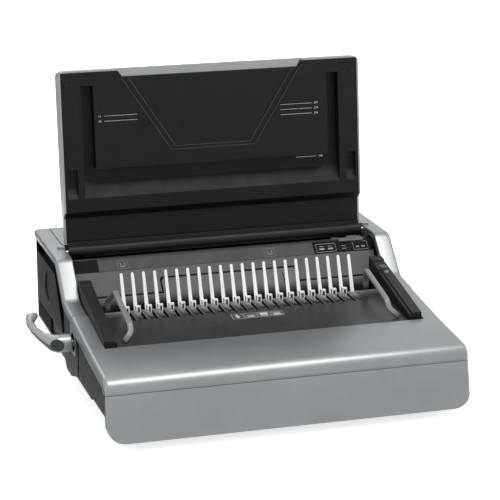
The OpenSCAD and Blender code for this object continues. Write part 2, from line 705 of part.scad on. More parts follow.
finger_base_z = 87;
module finger_blade() {
    tip_r = 1.7;
    len = (finger_tip_z - finger_base_z) / cos(finger_lean) - tip_r;
    rotate([90 - finger_lean, 0, 0]) translate([0, 0, -1.1]) linear_extrude(2.2) {
        polygon([[-2.6, 0], [2.6, 0], [tip_r, len], [-tip_r, len]]);
        translate([0, len]) circle(tip_r, $fn = 32);
    }
}
module finger_comb() {
    foot_y = finger_y(finger_base_z);
    color([0.93, 0.93, 0.92]) {
        box([-span / 2 - 5, foot_y - 3, finger_base_z - 1.6],
            [span / 2 + 5, foot_y + 14, finger_base_z + 0.6]);
        for (k = [0:finger_count - 1]) translate([finger_x(k), foot_y, finger_base_z]) finger_blade();
    }
}

handle_x = 164.5;
module handle_bar(a, b) {
    hull() for (p = [a, b]) translate(p) scale([1, 0.62, 0.62]) sphere(r = 3.8, $fn = 20);
}
module cassette_handles() {
    path = [[handle_x + 10, cassette_y0 + 11.5, 93.95], [handle_x, cassette_y0 + 19, 103],
        [handle_x, cassette_y0 + 26, 111.5], [handle_x, finger_tip_y - 29, 129.5], [handle_x + 6, finger_tip_y - 11, 111],
        [handle_x + 6, trough_y, 99.6]];
    color([0.55, 0.56, 0.57]) for (m = [0, 1]) mirror([m, 0, 0])
        for (i = [0:4]) handle_bar(path[i], path[i + 1]);
}

// ---------- sliding hooks and rack ----------
rack_m = 1.5;
rack_line = hub_z + pinion_r;
hook_plate_z = rack_line + 2.4;
module hook() {
    w = 1.5;
    top = 106.4;
    box([hook_dx - w / 2, hook_y, hook_plate_z], [hook_dx + w / 2, hook_y + 4, top]);
    box([-2, hook_y, top - 2.2], [hook_dx + w / 2, hook_y + 4, top]);
    box([-2, hook_y, 100], [0, hook_y + 4, top]);
}
module hook_plate() {
    tooth = PI * rack_m;
    half_top = tooth / 4 - 0.8 * rack_m * tan(pressure) - tooth_play;
    half_root = tooth / 4 + 1.05 * rack_m * tan(pressure) - tooth_play;
    color([0.93, 0.93, 0.92]) {
        for (k = [0:finger_count - 2]) translate([finger_x(k), 0, 0]) hook();
        box([pinion_x[0] - 1, 186, hook_plate_z], [span / 2, 212.4, hook_plate_z + 1.8]);
        along_x(pinion_x[0] - 1, pinion_x[1] + 1) {
            translate([170, rack_line + 1.05 * rack_m]) square([48, hook_plate_z - rack_line]);
            for (i = [-2:6]) translate([hub_y + (i + 0.5) * tooth, 0])
                polygon([[-half_root, rack_line + 1.06 * rack_m], [-half_top, rack_line - 0.8 * rack_m],
                    [half_top, rack_line - 0.8 * rack_m], [half_root, rack_line + 1.06 * rack_m]]);
        }
    }
}

// ---------- comb lever ----------
shaft_r = 5;
lever_out = half_w + 2;                  // inner end of the lever hub
elbow = [-lever_out - 18, hub_y, hub_z];
lever_tip = [-half_w - lever_reach + 10, hub_y + 53, hub_z + 21.5];
module lever_ball(p, rx, rz) {
    translate(p) scale([rx, rz, rz]) sphere(r = 1, $fn = 28);
}
module lever_link(p, q) {
    hull() {
        lever_ball(p[0], p[1], p[2]);
        lever_ball(q[0], q[1], q[2]);
    }
}
// round cap let into the front of the elbow
module cap_form(grow) {
    translate(elbow + [-0.5, -8.4, 1]) rotate([0, 0, -14]) rotate([90, 20, 0]) scale([1.2, 1, 1])
        cylinder(h = 2.2 + 9 * grow, r = 7.2 + grow, $fn = 48);
}
module comb_lever() {
    arm = [[elbow + [0, 1, 0], 11.5, 10.6], [elbow + [-14.2, 14, 5.1], 5.4, 6.4],
        [elbow + [-22, 27, 11.2], 4.6, 5.6],
        [[-half_w - lever_reach + 4.6, hub_y + 40, hub_z + 17], 4.6, 5.4],
        [lever_tip, 7.7, 4.8]];
    color("silver") difference() {
        union() {
            rod_x(elbow[0], -lever_out, hub_r - 0.4, hub_y, hub_z);
            hull() {
                rod_x(elbow[0] + 2, elbow[0] + 8, hub_r - 0.6, hub_y, hub_z, $fn = 32);
                lever_ball(arm[0][0], arm[0][1], arm[0][2]);
            }
            for (i = [0:3]) lever_link(arm[i], arm[i + 1]);
        }
        rod_x(elbow[0] + 2, -lever_out + 1, shaft_r + 0.02, hub_y, hub_z);
        cap_form(0.1);
    }
}
module lever_cap() {
    color([0.3, 0.3, 0.31]) cap_form(0);
}
module lever_shaft() {
    color("gray") {
        rod_x(elbow[0] + 2.4, pinion_x[1] + 6, shaft_r, hub_y, hub_z);
        difference() {
            along_x(pinion_x[0], pinion_x[1]) translate([hub_y, hub_z]) gear_outline(rack_m, 16, 90);
            rod_x(pinion_x[0] - 1, pinion_x[1] + 1, shaft_r - 0.5, hub_y, hub_z);
        }
    }
}

// ---------- drawer ----------
drawer_end = 316;
drawer_top = well_floor_z - 4;
module drawer_front() {
    z1 = seam_z - seam_gap;
    color("silver") difference() {
        intersection() {
            along_x(-half_w, half_w)
                polygon([[-front_lean, floor_gap], [0, z1], [2.4, z1], [2.4, floor_gap]]);
            along_y(-front_lean - 1, 4) {
                translate([-half_w, floor_gap + drawer_corner_r]) square([body_w, seam_z]);
                translate([-half_w + drawer_corner_r, floor_gap])
                    square([body_w - 2 * drawer_corner_r, seam_z]);
                for (s = [-1, 1]) translate([s * (half_w - drawer_corner_r), floor_gap + drawer_corner_r])
                    circle(drawer_corner_r);
            }
            // front corners rounded along the leaning face
            translate([0, 0, z1]) rotate([-atan(front_lean / (z1 - floor_gap)), 0, 0])
                translate([0, 40, -seam_z * 2]) mirror([0, 1, 0]) linear_extrude(seam_z * 3)
                    rounded_plan(half_w, 0, 40, edge_r);
        }
        along_x(-half_w + 12, half_w - 12) polygon([[-front_lean + 3.4, floor_gap + 3], [-0.4, z1 - 6],
            [-0.4, z1 - 3], [3, z1 - 3], [3, floor_gap + 3]]);
    }
}
module drawer_tray() {
    t = 2;
    color([0.11, 0.11, 0.115]) {
        difference() {
            box([-tray_x, 2.4, tray_z], [tray_x, drawer_end, drawer_top]);
            for (r = [[2.4 + t, 188], [190, drawer_end - t]])
                box([-tray_x + t, r[0], tray_z + t], [tray_x - t, r[1], drawer_top + 1]);
        }
    }
}

// ---------- punch ----------
pin_count = finger_count - 1;
die_y0 = slot_front - 8;
die_y1 = slot_front;
guide_y0 = slot_front + paper_gap;
guide_y1 = guide_y0 + 6;
die_bottom = 100;
die_top = 130;
pin_z = 124;
die_x = frame_x;
bar_y0 = guide_y1 + punch_stroke + 0.5;
bar_y1 = bar_y0 + 8;
rod_x0 = 168;
guide_rod_r = 4;
cam_r = 6;
cam_low = 12;
cam_z = 112;
cam_y = bar_y1 + part_gap + cam_low;
function pin_x(k) = (k - (pin_count - 1) / 2) * pitch;

module punched_plate(y0, y1) {
    c = 0.15;
    color("slategray") difference() {
        box([-die_x, y0, die_bottom], [die_x, y1, die_top]);
        for (k = [0:pin_count - 1]) box([pin_x(k) - hole_w / 2 - c, y0 - 1, pin_z - hole_h / 2 - c],
            [pin_x(k) + hole_w / 2 + c, y1 + 1, pin_z + hole_h / 2 + c]);
    }
}
module die_plate() {
    punched_plate(die_y0, die_y1);
}
module guide_plate() {
    difference() {
        punched_plate(guide_y0, guide_y1);
        // relief for the teeth of the camshaft gear
        box([gear_x[0] - 1, cam_y - gear_tip - 0.5, die_bottom - 1],
            [gear_x[1] + 1, guide_y1 + 1, die_top + 1]);
    }
}
module paper_stop() {
    color("dimgray") {
        box([-rod_x0, die_y1, die_bottom + 12], [rod_x0, guide_y0, pin_z - 4.5]);
        // end blocks that set the width of the paper slot
        both([rod_x0 - 7, die_y1, die_bottom], [rod_x0 + 8, guide_y0, die_top]);
    }
}
module bar_guide_rods() {
    color("gainsboro") for (x = [-rod_x0, rod_x0]) rod_y(guide_y1, bar_y1 + 6, guide_rod_r, x, cam_z);
}
module punch_bar() {
    color("slategray") difference() {
        box([-rod_x0 - 9, bar_y0, die_bottom], [rod_x0 + 9, bar_y1, die_top + 2]);
        for (x = [-rod_x0, rod_x0]) rod_y(bar_y0 - 1, bar_y1 + 1, guide_rod_r + run_clear, x, cam_z);
    }
}
module punch_pins() {
    color("gainsboro") for (k = [0:pin_count - 1])
        box([pin_x(k) - hole_w / 2, guide_y0 + 1, pin_z - hole_h / 2],
            [pin_x(k) + hole_w / 2, bar_y0, pin_z + hole_h / 2]);
}

// Cam whose radius grows evenly over cam_sweep, so the bar moves evenly with the turn.
cam_sweep = 300;
cam_x = 112;
module cam_outline() {
    polygon([for (a = [0:6:cam_sweep]) let(r = cam_low + punch_stroke * a / cam_sweep)
        r * [cos(180 - a), sin(180 - a)]]);
}
gear_x = [frame_x - 13, frame_x - 7];
train_m = 2;
cam_teeth = 32;
gear_tip = train_m * (cam_teeth / 2 + 0.8);
small_teeth = 14;
big_m = 1.5;
big_teeth = 52;
motor_teeth = 12;
idler_r = 4;
idler_angle = -39;                       // direction from the camshaft to the reduction gear
motor_angle = -62;                       // direction from the reduction gear to the motor
idler_gap = train_m * (cam_teeth + small_teeth) / 2;
motor_gap = big_m * (big_teeth + motor_teeth) / 2;
idler_y = cam_y + idler_gap * cos(idler_angle);
idler_z = cam_z + idler_gap * sin(idler_angle);
motor_y = idler_y + motor_gap * cos(motor_angle);
motor_z = idler_z + motor_gap * sin(motor_angle);
outer_x = [frame_x + frame_t + 1, frame_x + frame_t + 6];

module camshaft() {
    color("gray") {
        rod_x(-frame_x - frame_t - 2, frame_x + frame_t + 0.4, cam_r, cam_y, cam_z);
        for (x = [-cam_x, cam_x]) difference() {
            along_x(x - 4, x + 4) translate([cam_y, cam_z]) cam_outline();
            rod_x(x - 5, x + 5, cam_r - 0.5, cam_y, cam_z);
        }
        difference() {
            along_x(gear_x[0], gear_x[1]) translate([cam_y, cam_z])
                gear_outline(train_m, cam_teeth, idler_angle);
            rod_x(gear_x[0] - 1, gear_x[1] + 1, cam_r - 0.5, cam_y, cam_z);
        }
    }
}
module reduction_gear() {
    color("wheat") {
        rod_x(bracket_x[0] + 0.4, outer_x[1] + 1.5, idler_r, idler_y, idler_z);
        difference() {
            along_x(gear_x[0], gear_x[1]) translate([idler_y, idler_z])
                gear_outline(train_m, small_teeth, idler_angle + 180 - 180 / small_teeth);
            rod_x(gear_x[0] - 1, gear_x[1] + 1, idler_r - 0.5, idler_y, idler_z);
        }
        difference() {
            along_x(outer_x[0], outer_x[1]) translate([idler_y, idler_z])
                gear_outline(big_m, big_teeth, motor_angle);
            rod_x(outer_x[0] - 1, outer_x[1] + 1, idler_r - 0.5, idler_y, idler_z);
        }
    }
}
module motor_pinion() {
    color("gray") {
        rod_x(bracket_x[0] + 0.3, outer_x[1] + 0.5, 3, motor_y, motor_z);
        difference() {
            along_x(outer_x[0], outer_x[1]) translate([motor_y, motor_z])
                gear_outline(big_m, motor_teeth, motor_angle + 180 - 180 / motor_teeth);
            rod_x(outer_x[0] - 1, outer_x[1] + 1, 2.5, motor_y, motor_z);
        }
    }
}
bracket_x = [gear_x[0] - 6, gear_x[0] - 3.5];
motor_r = 26.4;
module gear_bracket() {
    color("lightsteelblue") difference() {
        union() {
            along_x(bracket_x[0], bracket_x[1]) polygon([[idler_y - 22, base_top],
                [idler_y - 14, idler_z + 12], [idler_y + 14, idler_z + 12], [motor_y + 26, motor_z + 20], [motor_y + 26, base_top]]);
            box([bracket_x[0] - 14, idler_y - 20, base_top], [bracket_x[1], motor_y + 24, base_top + 2]);
        }
        rod_x(bracket_x[0] - 1, bracket_x[1] + 1, idler_r + run_clear, idler_y, idler_z);
        rod_x(bracket_x[0] - 1, bracket_x[1] + 1, 3 + run_clear, motor_y, motor_z);
    }
}
module motor() {
    color([0.35, 0.36, 0.38]) {
        rod_x(bracket_x[0] - 92, bracket_x[0], motor_r, motor_y, motor_z + 2.3);
        rod_x(bracket_x[0] - 100, bracket_x[0] - 91, 9, motor_y, motor_z + 2.3);
    }
}
module transformer() {
    color([0.45, 0.3, 0.16]) box([-190, 362, base_top], [-128, 412, base_top + 52]);
    color("dimgray") box([-182, 352, base_top], [-136, 362, base_top + 40]);
}
module control_board() {
    color([0.1, 0.35, 0.18]) box([-96, 388, base_top + 6], [62, 389.6, base_top + 70]);
    color([0.2, 0.2, 0.2]) {
        for (x = [-90, 50]) box([x, 384, base_top], [x + 6, 388, base_top + 20]);
        for (x = [-70, -44]) rod_y(376, 388, 7, x, base_top + 46);
        box([-20, 370, base_top + 16], [8, 388, base_top + 56]);
        box([22, 378, base_top + 22], [44, 388, base_top + 38]);
    }
}
module power_inlet() {
    y0 = rear_y - 24;
    color([0.06, 0.06, 0.06]) difference() {
        union() {
            box([inlet_x - inlet_w / 2 + 0.3, y0, inlet_z - inlet_h / 2 + 0.3],
                [inlet_x + inlet_w / 2 - 0.3, rear_y - 0.6, inlet_z + inlet_h / 2 - 0.3]);
            box([inlet_x - inlet_w / 2 - 4, rear_y - 6.4, inlet_z - inlet_h / 2 - 3],
                [inlet_x + inlet_w / 2 + 4, rear_y - 3.6, inlet_z + inlet_h / 2 + 3]);
        }
        box([inlet_x - 8.5, y0 + 4, inlet_z - 4.2], [inlet_x + 8.5, rear_y + 1, inlet_z + 4.2]);
    }
    color("gainsboro") for (x = [inlet_x - 4.3, inlet_x + 4.3]) rod_y(y0 + 4, rear_y - 4, 1.2, x, inlet_z);
}
rocker_y = rear_y - 5;
pivot_r = 1.2;
module switch_body() {
    y0 = rear_y - 20;
    color([0.06, 0.06, 0.06]) difference() {
        box([switch_x - switch_w / 2 + 0.3, y0, inlet_z - switch_h / 2 + 0.3],
            [switch_x + switch_w / 2 - 0.3, rear_y - 0.6, inlet_z + switch_h / 2 - 0.3]);
        box([switch_x - switch_w / 2 + 1.8, y0 + 5, inlet_z - switch_h / 2 + 1.8],
            [switch_x + switch_w / 2 - 1.8, rear_y + 1, inlet_z + switch_h / 2 - 1.8]);
        rod_x(switch_x - switch_w, switch_x + switch_w, pivot_r + run_clear, rocker_y, inlet_z);
    }
}

module hinge_pins() {
    color("gainsboro") for (m = [0, 1]) mirror([m, 0, 0])
        rod_x(-pin_seat_x + 0.3, -well_x + 28, pin_r, hinge_y, hinge_z);
}
screw_r = 2.4;
screw_x = [-190, -60, 60, 190];
screw_z = [46, 136];
module cover_screws() {
    color("dimgray") {
        for (x = screw_x, z = screw_z) rod_y(rear_y - 3.4, rear_y - 0.4, screw_r + 1, x, z);
        for (x = [-150, 150], y = [24, 210, 330]) rod_z(base_z - 1.2, base_z, screw_r + 1, x, y);
        rod_x(-panel_x - 1.4, -panel_x - 0.6, screw_r, housing_y + 4.2, hub_z - 28);
    }
}

// ---------- lid ----------
// The lid is drawn upright at the hinge axis, its inner face in the plane y = 0, then leaned back.
lid_x = well_x - lid_gap;
lid_wall = 2.3;
liner_face = 0.8;
liner_t = 2.2;
sill_h = 50;                             // height of the step above the thin lower panel
sill_t = 8;
lid_foot = 9;
module lid_pose() {
    translate([0, hinge_y, hinge_z]) rotate([-lid_lean, 0, 0]) children();
}
lid_edge_r = 10;
lid_back = concat([[14, lid_foot], [lid_t - 1, 67], [lid_t, 110]],
    [for (i = [0:6]) let(a = 90 * i / 6)
        [lid_t - lid_edge_r + lid_edge_r * cos(a), lid_h - lid_edge_r + lid_edge_r * sin(a)]]);
grip_top = 117;
module grip_outline(grow) {
    polygon([[-grip_top - 8 - grow, lid_h + 1], [-grip_top - grow, lid_h - 10.5 - grow],
        [grip_top + grow, lid_h - 10.5 - grow], [grip_top + 8 + grow, lid_h + 1]]);
}
module lid_shell() {
    color("silver") lid_pose() difference() {
        intersection() {
            along_x(-lid_x, lid_x) polygon(concat(lid_back, [[0, lid_h], [0, sill_h], [sill_t, sill_h - 8],
                [sill_t, lid_foot]]));
            along_y(-5, lid_t + 5) {
                translate([-lid_x, 0]) square([2 * lid_x, lid_h - 8]);
                translate([-lid_x + 8, 0]) square([2 * lid_x - 16, lid_h]);
                for (s = [-1, 1]) translate([s * (lid_x - 8), lid_h - 8]) circle(8);
            }
        }
        difference() {
            along_x(-lid_x + lid_wall, lid_x - lid_wall) polygon([[14 - lid_wall, lid_foot + 2],
                [lid_t - 1 - lid_wall, 67], [lid_t - lid_wall, 110], [lid_t - lid_wall, lid_h - 9],
                [lid_t - 9, lid_h - lid_wall], [-3, lid_h - lid_wall], [-3, lid_foot + 2]]);
            // inner lip of the grip at the free edge
            along_y(6, 8.4) grip_outline(0);
        }
        // hand grip scooped out of the free edge
        along_y(-1, 6) grip_outline(0);
    }
}

slot_in = 156.5;
slot_out = 172;
bay = [86, 104.5];                       // recess that clears the fingers, measured from the axis
module lid_liner() {
    x = lid_x - lid_wall - 0.3;
    top = lid_h - lid_wall - 0.3;
    back = 17.8;
    inner_top = lid_h - 14;
    color([0.1, 0.1, 0.105]) lid_pose() difference() {
        along_x(-x, x) polygon([[sill_t, lid_foot + 2.4], [sill_t, sill_h - 8], [liner_face, sill_h],
            [liner_face, top], [6.3, top], [6.3, inner_top + 2], [back, inner_top - 6], [back, 70],
            [sill_t + liner_t, lid_foot + 8], [sill_t + liner_t, lid_foot + 2.4]]);
        // room for the cassette handles
        both([slot_in, -1, bay[0] + 1], [slot_out, back - liner_t, lid_h - 20]);
        // room for the fingers, with a sloped sill below it
        along_x(-slot_out, slot_out) polygon([[-1, 66.5], [liner_face, 67.5], [back - liner_t, bay[0]],
            [back - liner_t, bay[1]], [-1, bay[1]]]);
        // pockets over the rail caps, each with a sloped floor
        for (m = [0, 1]) mirror([m, 0, 0]) along_x(181, 194.5)
            polygon([[-1, 66], [liner_face, 67.5], [9, 80], [9, 104.5], [-1, 104.5]]);
        // opening that shows the silver edge of the shell
        along_y(-1, 8.6) grip_outline(0.3);
        // sunken grip field with sloped sides
        along_y(-1, 4) polygon([[-grip_top, lid_h], [-50, 128], [50, 128], [grip_top, lid_h]]);
        along_y(-1, 2.4) polygon([[-grip_top - 9, lid_h], [-56, 124], [56, 124], [grip_top + 9, lid_h]]);
        // hollow back
        box([-150, 6.6, 108], [150, back + 1, inner_top - 14]);
        both([slot_out + 2.4, 11.4, 70], [x - 2.2, back + 1, inner_top - 14]);
    }
}
module lid_barrel() {
    x = well_x - 4;
    color([0.1, 0.1, 0.105]) lid_pose() difference() {
        union() {
            rod_x(-x, x, barrel_r, 0, 0);
            box([-lid_x + 3, 2, -4], [lid_x - 3, sill_t, lid_foot + 2.4]);
            box([-lid_x + 3, sill_t - 1, -4], [lid_x - 3, sill_t + liner_t, lid_foot]);
        }
        rod_x(-x - 1, x + 1, pin_r + run_clear, 0, 0);
    }
}
module lid_bumpers() {
    color([0.2, 0.2, 0.2]) lid_pose() for (x = [-191, 191])
        rod_y(liner_face - 1.4, liner_face, 3.4, x, lid_h - 18.5);
}

// ---------- small controls ----------
module edge_guide() {
    foot = strip_top_z + 0.3;
    x = pin_x(pin_count - 1) + 6;
    y_mid = slot_front + paper_gap / 2;
    color([0.45, 0.45, 0.46]) {
        along_x(x + 9, deck_x - 10) polygon([[slot_y - 5, deck_z(slot_y - 5) + 0.5],
            [slot_y - 2.2, foot], [slot_y, foot], [slot_y, foot + 2.6], [slot_y - 2.6, foot + 2.6],
            [slot_y - 6, deck_z(slot_y - 5) + 2.4]]);
        box([x, slot_y - 2.2, foot], [x + 10, y_mid + 1, foot + 2.6]);
        box([x, y_mid - 1, pin_z - 3], [x + 2, y_mid + 1, foot + 2.6]);
    }
}
module punch_key() {
    top = on_line(rail_front, rail_crest, key_y) + 0.6;
    color([0.5, 0.5, 0.51])
        rounded_box([key_x - 4.5, key_y - 5.5, 116], [key_x + 4.5, key_y + 5.5, top], 1.5);
}
module power_rocker() {
    w = switch_w / 2 - 2.3;
    color([0.08, 0.08, 0.085]) {
        along_x(switch_x - w, switch_x + w) translate([rocker_y, inlet_z])
            polygon([[-4, -2], [-4, 2], [1.5, 4.8], [2.6, 4.6], [4.2, -4.4], [3, -4.8]]);
        rod_x(switch_x - w - 1.2, switch_x + w + 1.2, pivot_r, rocker_y, inlet_z);
    }
}

translate(home) base_tray();
translate(home) feet();
translate(home) side_frame_left();
translate(home) side_frame_right();
translate(home) front_cover();
translate(home) arm_cover_left();
translate(home) arm_cover_right();
translate(home) rear_deck_cover();
translate(home) rear_cover();
translate(home) front_side_panel_left();
translate(home) front_side_panel_right();
translate(home) rear_side_panel_left();
translate(home) rear_side_panel_right();
translate(home) louvre_left();
translate(home) louvre_right();
translate(home) side_plugs();
translate(home) carry_grips();
translate(home) lever_housing();
translate(home) lever_escutcheon();
translate(home) well_floor();
translate(home) deck_panel();
translate(home) slot_strip();
translate(home) paper_guide();
translate(home) rail_left_rear();
translate(home) rail_left_front();
translate(home) rail_right();
translate(home) status_lens();
translate(home) die_plate();
translate(home) guide_plate();
translate(home) paper_stop();
translate(home) bar_guide_rods();
translate(home) motor();
translate(home) gear_bracket();
translate(home) transformer();
translate(home) control_board();
translate(home) power_inlet();
translate(home) switch_body();
translate(home) hinge_pins();
translate(home) cover_screws();
translate(home) lid_shell();
translate(home) lid_liner();
translate(home) lid_barrel();
translate(home) lid_bumpers();
translate(home) cassette_body();
translate(home) finger_comb();
translate(home) cassette_handles();
translate(home) hook_plate();
translate(home) comb_lever();
translate(home) lever_cap();
translate(home) lever_shaft();
translate(home) drawer_front();
translate(home) drawer_tray();
translate(home) punch_bar();
translate(home) punch_pins();
translate(home) camshaft();
translate(home) reduction_gear();
translate(home) motor_pinion();
translate(home) edge_guide();
translate(home) punch_key();
translate(home) power_rocker();
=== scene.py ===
# %% [markdown]
# # A comb binding machine
# This notebook dresses a desktop comb binding machine: a silver housing, a raised lid, a well with a
# lift-off cassette of white fingers, a side lever and a waste drawer. The construction is already
# settled, so the first cell only loads it. Everything after it is looks: a camera, light, finishes,
# soft edges, and the small printed and moulded details that make the parts look manufactured.

# %% Load the frame
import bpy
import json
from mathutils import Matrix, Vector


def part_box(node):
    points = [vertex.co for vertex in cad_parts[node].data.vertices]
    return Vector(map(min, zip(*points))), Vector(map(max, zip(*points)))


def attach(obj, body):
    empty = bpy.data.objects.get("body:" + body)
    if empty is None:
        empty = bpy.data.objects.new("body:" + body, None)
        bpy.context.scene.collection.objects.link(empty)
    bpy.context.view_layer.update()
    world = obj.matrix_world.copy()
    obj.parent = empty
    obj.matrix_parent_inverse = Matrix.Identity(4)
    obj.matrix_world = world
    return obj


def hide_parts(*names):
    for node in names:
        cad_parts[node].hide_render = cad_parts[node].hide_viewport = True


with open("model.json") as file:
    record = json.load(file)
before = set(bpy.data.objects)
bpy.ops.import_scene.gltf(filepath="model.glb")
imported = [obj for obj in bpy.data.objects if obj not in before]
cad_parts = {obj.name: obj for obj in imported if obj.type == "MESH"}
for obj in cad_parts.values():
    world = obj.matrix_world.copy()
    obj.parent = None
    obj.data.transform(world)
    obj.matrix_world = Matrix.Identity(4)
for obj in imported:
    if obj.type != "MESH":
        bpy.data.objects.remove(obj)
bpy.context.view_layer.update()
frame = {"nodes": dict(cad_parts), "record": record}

# %% [markdown]
# ## Places
# The machine was drawn in millimetres from the middle of its front seam, at table height. Blender
# works in metres about the middle of the whole outline. One helper turns the first into the second.
# It finds the seam from the front cover itself, so a place keeps its meaning when the outline grows.

# %% Helpers for places
import json
import math
import bmesh
import bpy
from mathutils import Matrix, Vector

MM = 0.001
cover_low, cover_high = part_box("front_cover")
home = Vector(((cover_low.x + cover_high.x) / 2, cover_low.y, 0))
bodies = frame["record"]["behaviour"]["bodies"]
rides_on = {node: body for body, members in bodies.items() for node in members}


def at(x, y, z):
    """A point in metres, from millimetres right of, behind and above the middle of the seam."""
    return home + Vector((x, y, z)) * MM


print("seam middle at", [round(c, 4) for c in home])

# %% [markdown]
# ## The camera
# A long lens far away keeps the machine's edges nearly parallel, as product pictures do. A camera is
# easiest to think of as a place, a direction and a lens. It looks down a little and from the left,
# so the lever's side shows. Turning it is three simple rotations: about the vertical, then the
# tilt, then a trace of roll.

# %% Camera
turn = math.radians(-16.33)
tilt = math.radians(15.46)
roll = math.radians(-0.25)
stand = at(-673.2, -2125.5, 839.7)
camera = bpy.data.objects.new("camera", bpy.data.cameras.new("camera"))
camera.data.lens = 144.65
camera.data.sensor_width = 36
camera.data.clip_end = 20
aim = Matrix.Rotation(turn, 4, "Z") @ Matrix.Rotation(math.pi / 2 - tilt, 4, "X")
camera.matrix_world = Matrix.Translation(stand) @ aim @ Matrix.Rotation(roll, 4, "Z")
bpy.context.scene.collection.objects.link(camera)
bpy.context.scene.camera = camera
print("camera at", [round(c, 3) for c in camera.matrix_world.translation])

# %% [markdown]
# ## Nodes in words
# Blender describes a sky or a surface as a graph of nodes, which belongs to a world or a material.
# A few short helpers write such a graph down almost as sentences: add a node, join two sockets, and
# work out one value from two others.

# %% Node helpers
def add(owner, kind, **settings):
    """Adds a shader node. A setting named like one of its inputs sets that input."""
    made = owner.node_tree.nodes.new("ShaderNode" + kind)
    for name, value in settings.items():
        socket = made.inputs.get(name.replace("_", " "))
        if socket is not None:
            socket.default_value = value
        else:
            setattr(made, name, value)
    return made


def join(owner, source, target):
    owner.node_tree.links.new(source, target)


def reckoned(owner, operation, one, two, **settings):
    """What a Math node makes of two values, each a number or a socket."""
    made = add(owner, "Math", operation=operation, **settings)
    for value, socket in zip((one, two), made.inputs):
        if isinstance(value, float):
            socket.default_value = value
        else:
            join(owner, value, socket)
    return made.outputs[0]


def new_finish(name, colour, roughness, metallic=0.0, specular=0.5):
    """A material whose shader holds everything that is the same all over the surface."""
    material = bpy.data.materials.new(name)
    material.use_nodes = True
    shader = shader_of(material)
    shader.inputs["Base Color"].default_value = (*colour, 1)
    shader.inputs["Roughness"].default_value = roughness
    shader.inputs["Metallic"].default_value = metallic
    shader.inputs["Specular IOR Level"].default_value = specular
    return material


def shader_of(material):
    return material.node_tree.nodes["Principled BSDF"]


print("node helpers ready")

# %% [markdown]
# ## Light
# Silver paint only looks like metal if it has something to reflect. The room is a pale studio: a
# white world for what the camera and the glossy surfaces see, and a softer one for the fill light.

# %% World
scene = bpy.context.scene
scene.view_settings.view_transform = "Standard"
fill_strength = 0.72


def seen_rays(owner):
    """1 for rays that come from the camera, or by way of a reflection or glass."""
    path = add(owner, "LightPath")
    total = path.outputs["Is Camera Ray"]
    for name in ("Is Glossy Ray", "Is Transmission Ray"):
        total = reckoned(owner, "MAXIMUM", total, path.outputs[name])
    return total


world = bpy.data.worlds.new("studio")
scene.world = world
world.use_nodes = True
world.node_tree.nodes.clear()
fill = add(world, "Background", Color=(0.97, 0.985, 1.0, 1), Strength=fill_strength)
white = add(world, "Background", Color=(1, 1, 1, 1), Strength=1.0)
blend = add(world, "MixShader")
join(world, seen_rays(world), blend.inputs[0])
join(world, fill.outputs[0], blend.inputs[1])
join(world, white.outputs[0], blend.inputs[2])
join(world, blend.outputs[0], add(world, "OutputWorld").inputs["Surface"])
print("world:", world.name, "fill", fill_strength)

# %% [markdown]
# One wide softbox hangs over the front of the machine. It sits where the steep faces of the arms
# and the rounded nose mirror it, which gives them their bright bands. Two weaker ones fill the left
# and the back. All three aim at one point inside the machine.

# %% Lamps
target = Vector((0, 0, 0.12))


def softbox(name, place, width, height, power, tint=(1, 1, 1)):
    """A rectangular area lamp at place, turned towards the target."""
    lamp = bpy.data.objects.new(name, bpy.data.lights.new(name, "AREA"))
    lamp.data.shape = "RECTANGLE"
    lamp.data.size = width
    lamp.data.size_y = height
    lamp.data.energy = power
    lamp.data.color = tint
    lamp.location = place
    lamp.rotation_euler = (target - Vector(place)).to_track_quat("-Z", "Y").to_euler()
    scene.collection.objects.link(lamp)


softbox("key_softbox", (0.24, -0.46, 1.60), width=1.3, height=0.55, power=15.0)
softbox("left_softbox", (-1.6, -0.5, 0.75), width=0.8, height=1.2, power=1.6, tint=(0.98, 0.99, 1.0))
softbox("back_softbox", (-0.3, 1.3, 1.3), width=1.2, height=0.6, power=3.5)

# %% [markdown]
# A studio also takes light away, with dark cards. These are seen only in reflections, so they may
# lie in the picture. Three lie on the floor: a wide one and a small darker one that the drawer's
# front mirrors, and one for the left side. The last stands behind, where the lid's left edge
# mirrors it.

# %% Cards
def rectangle(name, first, last):
    """A flat mesh between opposite corners: lying if both are as high, upright if both are as far back."""
    (left, front, foot), (right, back, head) = first, last
    mesh = bpy.data.meshes.new(name)
    corners = [(left, front, foot), (right, front, foot), (right, back, head), (left, back, head)]
    mesh.from_pydata(corners, [], [(0, 1, 2, 3)])
    return mesh


def dark_card(name, first, last, tone):
    """A matt card that only reflections see."""
    mesh = rectangle(name, first, last)
    mesh.materials.append(new_finish(name + "_cloth", (tone, tone, tone), 0.9))
    card = bpy.data.objects.new(name, mesh)
    scene.collection.objects.link(card)
    card.visible_camera = card.visible_diffuse = card.visible_shadow = card.visible_transmission = False


dark_card("wide_card", (-0.9, -0.95, 0.003), (0.9, -0.28, 0.003), 0.50)
dark_card("front_card", (0.02, -0.50, 0.004), (0.18, -0.33, 0.004), 0.28)
dark_card("side_card", (-0.75, -0.20, 0.004), (-0.25, 0.70, 0.004), 0.03)
dark_card("back_card", (-1.1, 0.95, 0.0), (-0.30, 0.95, 0.65), 0.30)

# %% [markdown]
# ## The floor
# The floor is a large pale sheet. It has to look white and still carry the machine's shadow, so it
# is a plain matt surface that also glows, and only for the rays that see it. The glow is faint
# beside the machine, where reflections see its shadow, and grows to full white three quarters of a
# metre from the middle. The camera sees a stronger glow, so the page stays white and the shadow is
# only a hint.

